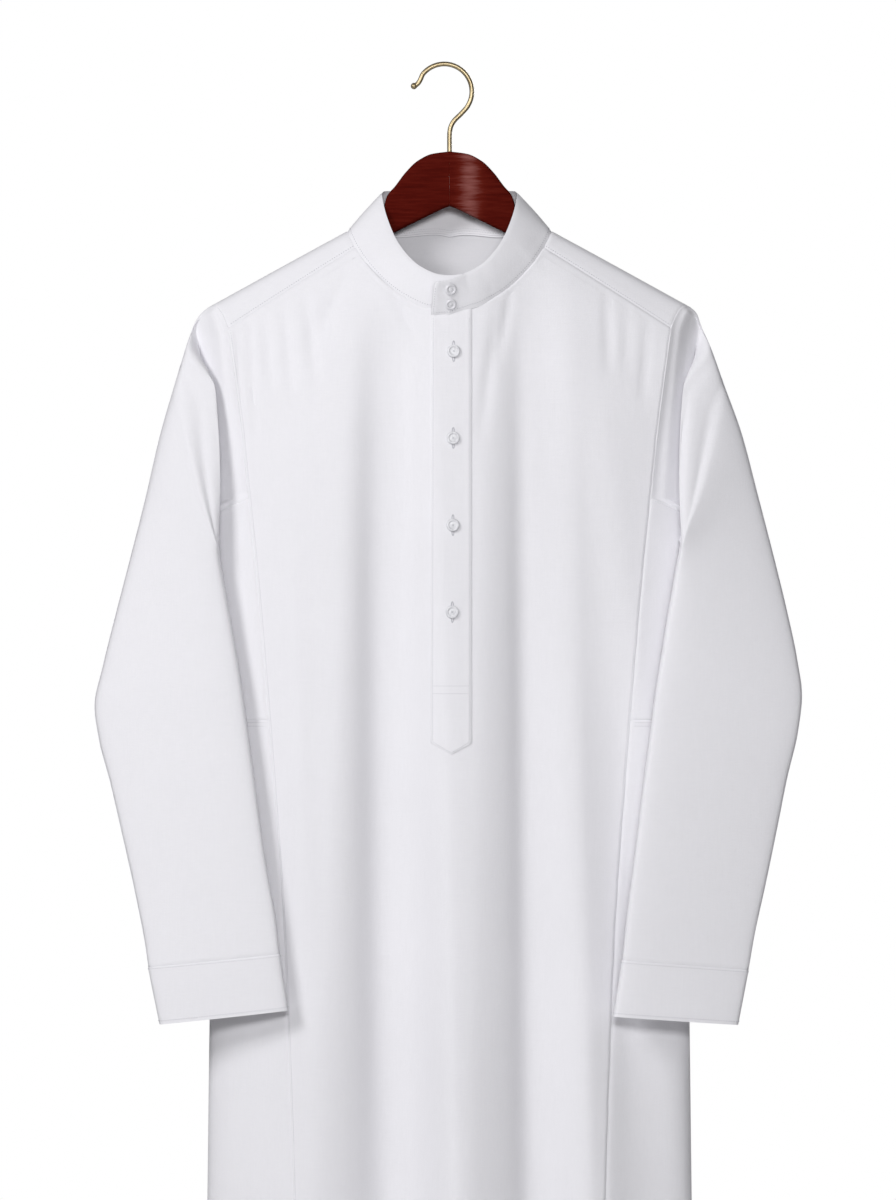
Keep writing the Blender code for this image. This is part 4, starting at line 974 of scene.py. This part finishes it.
def on_tab(x, share):
    """A point on the tab's outer face."""
    angle = np.array(-360 + math.degrees(math.asin(x / NECK_HALF)))
    return collar_wall(angle, np.array(share))[0]


def build_placket():
    middle = (PLACKET_LEFT + PLACKET_RIGHT) / 2
    half = (PLACKET_RIGHT - PLACKET_LEFT) / 2
    share = crowded(*PLACKET_SHARES)
    x = (middle + half * share)[None, :]
    top = np.array([-float(on_tab(place, 0.0)[2]) - PLACKET_TUCK for place in x[0]])[None, :]
    tip = PLACKET_CORNER_DOWN + (PLACKET_TIP_DOWN - PLACKET_CORNER_DOWN) * (1 - np.abs(share))
    run = crowded(*PLACKET_RUNS)[:, None]
    down = top + (tip[None, :] - top) * run
    x = x + 0 * down
    edge = half * (1 - np.abs(share))[None, :]
    foot = (tip[None, :] - down) * POINT_SLANT
    out = (PLACKET_LIFT - PLACKET_EASE * swell(edge, EASE_WIDE)
           - PLACKET_EASE * swell(foot, EASE_WIDE) + PLACKET_RIM * swell(edge - RIM_AT, RIM_WIDE)
           + PLACKET_PUCKER * pucker(down, PLACKET_SEED) * swell(edge, PLACKET_PUCKER_WIDE))
    for spot_x, spot_down in BUTTONS:
        out = out + BUTTON_RISE * swell(np.hypot(x - spot_x, down - spot_down), BUTTON_RISE_WIDE)
    cloth_piece("robe_placket", "placket", body_surface(x, down, FRONT, out),
                body_surface(x, down, FRONT, PLACKET_FOOT))
    lines = []
    lift = PLACKET_LIFT + PLACKET_STITCH_LIFT
    run = steps(PLACKET_STITCH_DOWN, PLACKET_CORNER_DOWN - SIDE_STITCH_UP, PLACKET_POINTS)
    point = steps(0, 1, POINT_POINTS)
    tip = (PLACKET_CORNER_DOWN - POINT_STITCH_UP
           + (PLACKET_TIP_DOWN - PLACKET_CORNER_DOWN) * point)
    for place in (PLACKET_LEFT + STITCH_IN, PLACKET_RIGHT - STITCH_IN):
        lines.append(body_line(place, run, FRONT, lift))
        lines.append(body_line(place + (middle - place) * point, tip, FRONT, lift))
    across = steps(PLACKET_LEFT + BAR_IN, PLACKET_RIGHT - BAR_IN, BAR_POINTS)
    for down in PLACKET_BARS:
        lines.append(body_line(across, down, FRONT, lift))
    stitches("stitches_placket", lines)


# ---- buttons and snaps

def seated(mesh, place, normal):
    mesh.transform(Matrix.Translation(Vector(place) * MM)
                   @ Vector(normal).to_track_quat("Z", "Y").to_matrix().to_4x4())


def turned_mesh(name, profile, count):
    """A closed round mesh from a profile of radius and height, in millimetres."""
    radius = np.array([row[0] for row in profile[1:-1]])
    height = np.array([row[1] for row in profile[1:-1]])
    turn = np.arange(count) * 2 * math.pi / count
    rings = np.stack((radius[:, None] * np.cos(turn), radius[:, None] * np.sin(turn),
                      height[:, None] + 0 * turn), -1).reshape(-1, 3)
    points = np.concatenate((rings, [(0, 0, profile[0][1]), (0, 0, profile[-1][1])]))
    faces = tube_faces(len(radius), count)
    last = (len(radius) - 1) * count
    for place in range(count):
        after = (place + 1) % count
        faces.append((len(points) - 2, place, after))
        faces.append((len(points) - 1, last + after, last + place))
    return mesh_of(name, points, faces)


def join_meshes(name, meshes):
    shape = bmesh.new()
    for mesh in meshes:
        shape.from_mesh(mesh)
    whole = bpy.data.meshes.new(name)
    shape.to_mesh(whole)
    shape.free()
    return whole


def soft_profile(profile, pieces):
    """The same turned profile with its corners eased, by corner cutting."""
    rows = np.array(profile, float)
    for _ in range(pieces):
        first, last = rows[:1], rows[-1:]
        near = rows[:-1] * 0.75 + rows[1:] * 0.25
        far = rows[:-1] * 0.25 + rows[1:] * 0.75
        middle = np.stack((near, far), 1).reshape(-1, 2)
        rows = np.concatenate((first, middle, last))
    return [tuple(row) for row in rows]


def build_button(number, x, down):
    """A button with its holes, its crossed threads and the worked hole behind it."""
    line = body_line(np.array([x]), np.array([down]), FRONT, PLACKET_LIFT + BUTTON_LIFT)
    spot, outward = (part[0] for part in line)
    mesh = turned_mesh(f"button_{number}", soft_profile(BUTTON_LOOK, 2), BUTTON_SIDES)
    seated(mesh, spot, outward)
    new_piece(f"robe_button_{number}", mesh, finishes["pearl"],
              [f"button_{number}"], sharp=50)
    holes = [turned_mesh("hole", HOLE_LOOK, HOLE_SIDES) for _ in range(4)]
    for turn, hole in zip(np.radians((45, 135, 225, 315)), holes):
        hole.transform(Matrix.Translation((HOLE_REACH * MM * math.cos(turn),
                                           HOLE_REACH * MM * math.sin(turn), 0)))
        seated(hole, spot, outward)
    new_piece(f"button_holes_{number}", join_meshes("holes", holes), finishes["shade"])
    strands = [turned_mesh("thread", STRAND_LOOK, STRAND_SIDES) for _ in range(2)]
    for turn, strand in zip((45, -45), strands):
        strand.transform(Matrix.Translation((0, 0, STRAND_HIGH * MM))
                         @ Matrix.Rotation(math.radians(turn), 4, "Z")
                         @ Matrix.Rotation(math.radians(90), 4, "X")
                         @ Matrix.Scale(STRAND_STRETCH, 4, (0, 0, 1)))
        seated(strand, spot, outward)
    new_piece(f"button_thread_{number}", join_meshes("thread", strands), finishes["thread"])
    build_buttonhole(number, x, down)


def build_snap(word, share, radius):
    """A press-stud cap, square on the tab's face."""
    spot = on_tab(SNAP_X, share)
    across, above = on_tab(SNAP_X + 4, share) - spot, on_tab(SNAP_X, share + 0.1) - spot
    normal = unit(np.cross(above, across))
    normal = normal * -np.sign(normal[1])
    profile = soft_profile([(part * radius, height) for part, height in SNAP_LOOK], 2)
    mesh = turned_mesh(f"snap_{word}", profile, BUTTON_SIDES)
    seated(mesh, spot + normal * SNAP_LIFT, normal)
    new_piece(f"robe_snap_{word}", mesh, finishes["snap"], [f"snap_{word}"],
              sharp=50)


def build_buttonhole(number, x, down):
    """A worked buttonhole: a slim satin-stitched ring round a slit, behind the button."""
    turn = full_turn(BUTTONHOLE_SIDES)
    half, wide = BUTTONHOLE_HALF, BUTTONHOLE_WIDE
    reach = np.sign(np.sin(turn)) * np.abs(np.sin(turn)) ** BUTTONHOLE_SQUARE
    rings = []
    for grow, lift in BUTTONHOLE_RINGS:
        ripple = SATIN_RIPPLE * np.sin(np.arange(len(turn)) * math.pi) * (lift > 0)
        place_x = x + wide * grow * np.cos(turn)
        place_down = down + (half - wide * (1 - grow)) * reach
        rings.append(body_surface(place_x, place_down, FRONT,
                                  PLACKET_LIFT + BUTTONHOLE_LIFT + lift + ripple))
    name = f"buttonhole_{number}"
    new_piece(name, tube(name, np.array(rings)), finishes["thread"])


# ---- hanger

def wood_edges(x):
    """Down of the hanger's top and underside at x."""
    near = column(WOOD_BELL, 1, np.abs(x))
    far = ridge_down(x) + WOOD_SEAT + WOOD_NECK_CLEAR * np.clip(
        1 - np.abs(np.abs(x) - NECK_HALF) / WOOD_NECK_REACH, 0, 1)
    blend = np.clip((np.abs(x) - BELL_FOOT_X) / (ARM_START_X - BELL_FOOT_X), 0, 1)
    top = near * (1 - blend) + far * blend
    under = WOOD_UNDER_DOWN + WOOD_UNDER_SLOPE * (np.hypot(x, WOOD_UNDER_ROUND) - WOOD_UNDER_ROUND)
    return top, under


def build_arm(side, word):
    """Half of the hanger as rings of an eased section along its length."""
    stations = np.concatenate((JOINT_X, steps(*BELL_RUN), steps(*ARM_RUN),
                               WOOD_TIP_X + np.array(TIP_STATIONS)))
    top, under = wood_edges(stations)
    past = np.clip((stations - (WOOD_TIP_X - TIP_BACK)) / TIP_ROUND_LONG, 0, 1)
    middle, half = (top + under) / 2, (under - top) / 2
    half = half * np.sqrt(1 - past ** 2 * TIP_CLOSE)
    joint = np.array([*JOINT_EASE] + [0] * (len(stations) - len(JOINT_EASE)))
    turn = full_turn(WOOD_SIDES)
    ease_y, ease_z = (np.sign(part) * np.abs(part) ** power
                      for part, power in zip((np.sin(turn), np.cos(turn)), WOOD_EASE))
    rings = []
    for x, centre, tall, shy in zip(stations, middle, half, joint):
        thick = WOOD_HALF - shy
        rings.append(np.stack((side * x + 0 * turn, thick * ease_y,
                               -centre + (tall - shy) * ease_z), -1))
    new_piece(f"wood_half_{word}", tube(f"wood_{word}", np.array(rings), caps=True),
              finishes["wood"], [f"hanger_arm_{word}"], sharp=50)


def hook_route():
    """Middle line of the hook's wire, from its ball tip over the crest down into the bore."""
    radius = HOOK_INNER + HOOK_WIRE
    crest = [(HOOK_CENTRE_X + radius * math.sin(turn), -HOOK_INNER + radius * math.cos(turn))
             for turn in np.radians(steps(*HOOK_TURN, 12))]
    stem = [(0.0, -down) for down in steps(HOOK_STEM_DOWN, WOOD_BELL[0][1] + BORE_DEPTH - GAP, 3)]
    return [*HOOK_TIP, *crest, *HOOK_NECK, *stem]


def smooth_route(points, pieces):
    """A smooth curve through the points, with so many pieces between each two."""
    fine = np.linspace(0, len(points) - 1, pieces * (len(points) - 1) + 1)
    before = np.vstack((2 * points[0] - points[1], points, 2 * points[-1] - points[-2]))
    tangents = (before[2:] - before[:-2]) / 2
    span = np.clip(fine.astype(int), 0, len(points) - 2)
    t = (fine - span)[:, None]
    return cubic(points[span], points[span + 1], tangents[span], tangents[span + 1], t)


def build_hook():
    route = smooth_route(np.array(hook_route()), 8)
    reach = np.concatenate(([0], np.cumsum(np.linalg.norm(np.diff(route, axis=0), axis=1))))
    ball = np.sqrt(np.clip(1 - ((reach - HOOK_BALL) / HOOK_BALL) ** 2, 0, 1)) * HOOK_BALL
    least = np.where(reach > HOOK_BALL, HOOK_WIRE, 0.15)
    radius = np.where(reach < 2 * HOOK_BALL, np.maximum(ball, least), HOOK_WIRE)
    along = unit(np.gradient(route, axis=0))
    side = np.stack((-along[:, 1], along[:, 0]), -1)
    turn = full_turn(WIRE_SIDES)
    flat = route[:, None, :] + side[:, None, :] * (radius[:, None] * np.cos(turn))[..., None]
    rings = np.stack((flat[..., 0], radius[:, None] * np.sin(turn), flat[..., 1]), -1)
    new_piece("hook_wire", tube("hook", rings, caps=True), finishes["brass"],
              ["hanger_hook"], sharp=60)


# ---- materials

class Nodes:
    """Short calls for building a material's nodes."""

    def __init__(self, name):
        self.material = bpy.data.materials.new(name)
        self.material.use_nodes = True
        self.tree = self.material.node_tree
        self.shader = self.tree.nodes["Principled BSDF"]
        self.place = self.add("ShaderNodeTexCoord").outputs["Object"]

    def add(self, kind, **values):
        node = self.tree.nodes.new(kind)
        for name, value in values.items():
            setattr(node, name, value)
        return node

    def link(self, start, end):
        self.tree.links.new(start, end)

    def noise(self, scale, detail=3.0, stretch=(1, 1, 1), rough=0.5):
        node = self.add("ShaderNodeTexNoise")
        node.inputs["Scale"].default_value = scale
        node.inputs["Detail"].default_value = detail
        node.inputs["Roughness"].default_value = rough
        scaled = self.add("ShaderNodeMapping")
        scaled.inputs["Scale"].default_value = stretch
        self.link(self.place, scaled.inputs["Vector"])
        self.link(scaled.outputs["Vector"], node.inputs["Vector"])
        return node.outputs["Fac"]

    def threads(self, direction, pitch):
        """Even bands across one axis, so many metres apart, for the threads of a weave."""
        node = self.add("ShaderNodeTexWave", bands_direction=direction, wave_profile="SIN")
        node.inputs["Scale"].default_value = math.pi / (10 * pitch)
        node.inputs["Distortion"].default_value = 0.6
        node.inputs["Detail"].default_value = 1.0
        self.link(self.place, node.inputs["Vector"])
        return node.outputs["Fac"]

    def maths(self, operation, first, second):
        node = self.add("ShaderNodeMath", operation=operation)
        for socket, value in zip(node.inputs, (first, second)):
            if isinstance(value, (int, float)):
                socket.default_value = value
            else:
                self.link(value, socket)
        return node.outputs["Value"]

    def ramp(self, value, *stops):
        node = self.add("ShaderNodeValToRGB")
        colours = node.color_ramp.elements
        for number, (place, colour) in enumerate(stops):
            stop = colours[number] if number < 2 else colours.new(place)
            stop.position = place
            stop.color = (*colour, 1)
        self.link(value, node.inputs["Fac"])
        return node.outputs["Color"]

    def grey(self, value, low, high):
        """A number between low and high that follows a value from 0 to 1."""
        node = self.add("ShaderNodeMapRange")
        node.inputs["To Min"].default_value = low
        node.inputs["To Max"].default_value = high
        self.link(value, node.inputs["Value"])
        return node.outputs["Result"]

    def bump(self, height, distance, strength=1.0):
        node = self.add("ShaderNodeBump")
        node.inputs["Distance"].default_value = distance
        node.inputs["Strength"].default_value = strength
        self.link(height, node.inputs["Height"])
        self.link(node.outputs["Normal"], self.shader.inputs["Normal"])

    def set(self, **values):
        for name, value in values.items():
            socket = self.shader.inputs[name.replace("_", " ")]
            if isinstance(value, (int, float)):
                socket.default_value = value
            else:
                self.link(value, socket)
        return self.material


def cotton():
    """Fine plain-woven white cotton: threads both ways, slubs, and a faint sheen."""
    cloth = Nodes("fine_white_cotton")
    weave = cloth.maths("MULTIPLY", cloth.threads("X", CLOTH_THREAD),
                        cloth.threads("Z", CLOTH_THREAD))
    slub = cloth.noise(900, 2.0, (1, 1, 0.06))
    cross = cloth.noise(900, 2.0, (0.06, 1, 1))
    fibre = cloth.maths("ADD", slub, cross)
    soft = cloth.noise(38, 2.0, (1, 1, 0.5))
    height = cloth.maths("ADD", cloth.maths("MULTIPLY", weave, 0.5),
                         cloth.maths("ADD", cloth.maths("MULTIPLY", fibre, 0.5),
                                     cloth.maths("MULTIPLY", soft, 0.8)))
    cloth.bump(height, 0.00022, 0.55)
    tone = cloth.maths("ADD", cloth.maths("MULTIPLY", fibre, 0.3),
                       cloth.maths("MULTIPLY", cloth.noise(5, 2.0), 0.4))
    colour = cloth.ramp(tone, (0.25, COTTON_LOW), (0.75, COTTON_HIGH))
    return cloth.set(Base_Color=colour, Roughness=cloth.grey(fibre, 0.72, 0.88),
                     Sheen_Weight=0.18, Sheen_Roughness=0.45, Specular_IOR_Level=0.25)


def grained(name, grain, bump, stops, rough, **values):
    """A finish whose colour and roughness follow one noise, over a finer bump if it has one."""
    look = Nodes(name)
    tone = look.noise(*grain)
    if bump:
        bump_noise, distance, strength = bump
        look.bump(look.noise(*bump_noise) if bump_noise else tone, distance, strength)
    return look.set(Base_Color=look.ramp(tone, *stops), Roughness=look.grey(tone, *rough),
                    **values)


def mahogany():
    """Dark red-brown wood with a fine grain along the arms under a thin lacquer, and a painted
    highlight: a soft paler band across x where a reflection would lie.
    """
    wood = Nodes("dark_mahogany_with_painted_highlight")
    grain = wood.noise(70, 6.0, (0.5, 3, 6), 0.6)
    pores = wood.noise(520, 3.0, (0.12, 1, 3), 0.6)
    mix = wood.maths("ADD", wood.maths("MULTIPLY", grain, 0.65),
                     wood.maths("MULTIPLY", pores, 0.35))
    # painted highlight: a soft paler band round one x, added to the grain, stands in for the
    # lacquer's reflection
    spot = wood.add("ShaderNodeSeparateXYZ")
    wood.link(wood.place, spot.inputs["Vector"])
    off = wood.maths("SUBTRACT", spot.outputs["X"], PAINTED_HIGHLIGHT_X)
    off = wood.maths("MULTIPLY", off, 1 / PAINTED_HIGHLIGHT_WIDE)
    off = wood.maths("MULTIPLY", wood.maths("MULTIPLY", off, off), -1.0)
    painted_highlight = wood.maths("MULTIPLY", wood.maths("EXPONENT", off, 0), PAINTED_HIGHLIGHT_SHARE)
    grain_and_highlight = wood.maths("ADD", painted_highlight, mix)
    colour = wood.ramp(grain_and_highlight, (0.30, WOOD_DARK), (0.5, WOOD_MIDDLE), (0.66, WOOD_LIGHT),
                       (0.95, WOOD_PAINTED_HIGHLIGHT))
    wood.bump(pores, 0.00012, 0.35)
    return wood.set(Base_Color=colour, Roughness=wood.grey(mix, 0.46, 0.34),
                    Specular_IOR_Level=0.0)


# ---- stage

def build_stage():
    bpy.ops.mesh.primitive_circle_add(vertices=96, radius=FLOOR_RADIUS, fill_type="NGON",
                                      location=(0, 0, FLOOR_Z))
    floor = bpy.context.object
    floor.name = "floor"
    floor.data.materials.append(grained(
        "studio_floor", (6, 3.0), None,
        ((0.3, (0.80, 0.80, 0.80)), (0.7, (0.84, 0.84, 0.84))), (0.7, 0.8)))


def area_light(name, place, target, size, power):
    lamp = bpy.data.lights.new(name, "AREA")
    lamp.shape = "RECTANGLE"
    lamp.size, lamp.size_y = size
    lamp.energy = power
    light = add_object(name, lamp)
    light.location = place
    light.rotation_euler = (Vector(target) - Vector(place)).to_track_quat("-Z", "Y").to_euler()


def build_light():
    scene = bpy.context.scene
    world = bpy.data.worlds.new("studio")
    scene.world = world
    world.use_nodes = True
    tree = world.node_tree
    ambient = tree.nodes["Background"]
    white = tree.nodes.new("ShaderNodeBackground")
    for node, strength in ((ambient, AMBIENT), (white, 1.0)):
        node.inputs["Color"].default_value = (1.0, 1.0, 1.0, 1)
        node.inputs["Strength"].default_value = strength
    seen = tree.nodes.new("ShaderNodeLightPath")
    mix = tree.nodes.new("ShaderNodeMixShader")
    tree.links.new(seen.outputs["Is Camera Ray"], mix.inputs["Fac"])
    tree.links.new(ambient.outputs["Background"], mix.inputs[1])
    tree.links.new(white.outputs["Background"], mix.inputs[2])
    tree.links.new(mix.outputs["Shader"], tree.nodes["World Output"].inputs["Surface"])
    for row in LIGHTS:
        area_light(*row)
    scene.view_settings.view_transform = "Standard"
    scene.view_settings.look = "None"


def build_camera():
    lens = bpy.data.cameras.new("camera")
    lens.lens = LENS
    lens.sensor_width = 36.0
    camera = add_object("camera", lens)
    camera.location = (CAMERA_X, -CAMERA_FAR, CAMERA_Z)
    camera.rotation_euler = (math.pi / 2, 0, 0)
    bpy.context.scene.camera = camera


finishes = {
    "cloth": cotton(),
    # painted shade: the thread is coloured dark grey, not its own white, to stand for the small
    # shadows at its stitches and needle holes
    "thread": grained(
        "sewing_thread_painted_shade", (2600, 1.0, (1, 1, 0.3)), (None, 0.0001, 0.6),
        ((0.3, (0.30, 0.30, 0.34)), (0.7, (0.40, 0.40, 0.44))), (0.45, 0.65), Sheen_Weight=0.2),
    "pearl": grained(
        "pearly_button", (420, 4.0, (1, 1, 0.5)), ((900, 2.0), 0.00004, 0.4),
        ((0.3, (0.56, 0.56, 0.59)), (0.55, (0.65, 0.65, 0.68)), (0.75, (0.74, 0.74, 0.77))),
        (0.28, 0.42), Specular_IOR_Level=0.4),
    "snap": grained(
        "snap_enamel", (1400, 2.0), (None, 0.00003, 0.5),
        ((0.3, (0.62, 0.615, 0.65)), (0.7, (0.70, 0.695, 0.73))), (0.32, 0.45)),
    "shade": grained(
        "button_hole_shade", (1500, 1.0), None,
        ((0.3, (0.10, 0.10, 0.10)), (0.7, (0.18, 0.18, 0.18))), (0.6, 0.8)),
    "wood": mahogany(),
    "brass": grained(
        "antique_brass", (70, 3.0), ((1200, 2.0), 0.00001, 0.15),
        ((0.3, (0.27, 0.21, 0.12)), (0.55, (0.36, 0.29, 0.17)), (0.8, (0.46, 0.38, 0.24))),
        (0.30, 0.42), Metallic=0.72),
}
build_camera()
build_light()
build_stage()
build_front()
build_back()
build_yoke()
build_sides()
build_sleeves()
build_collar()
build_placket()
for number, place in enumerate(BUTTONS, 1):
    build_button(number, *place)
for word, row in zip(("upper", "lower"), SNAPS):
    build_snap(word, *row)
for side, word in SIDES:
    build_arm(side, word)
build_hook()
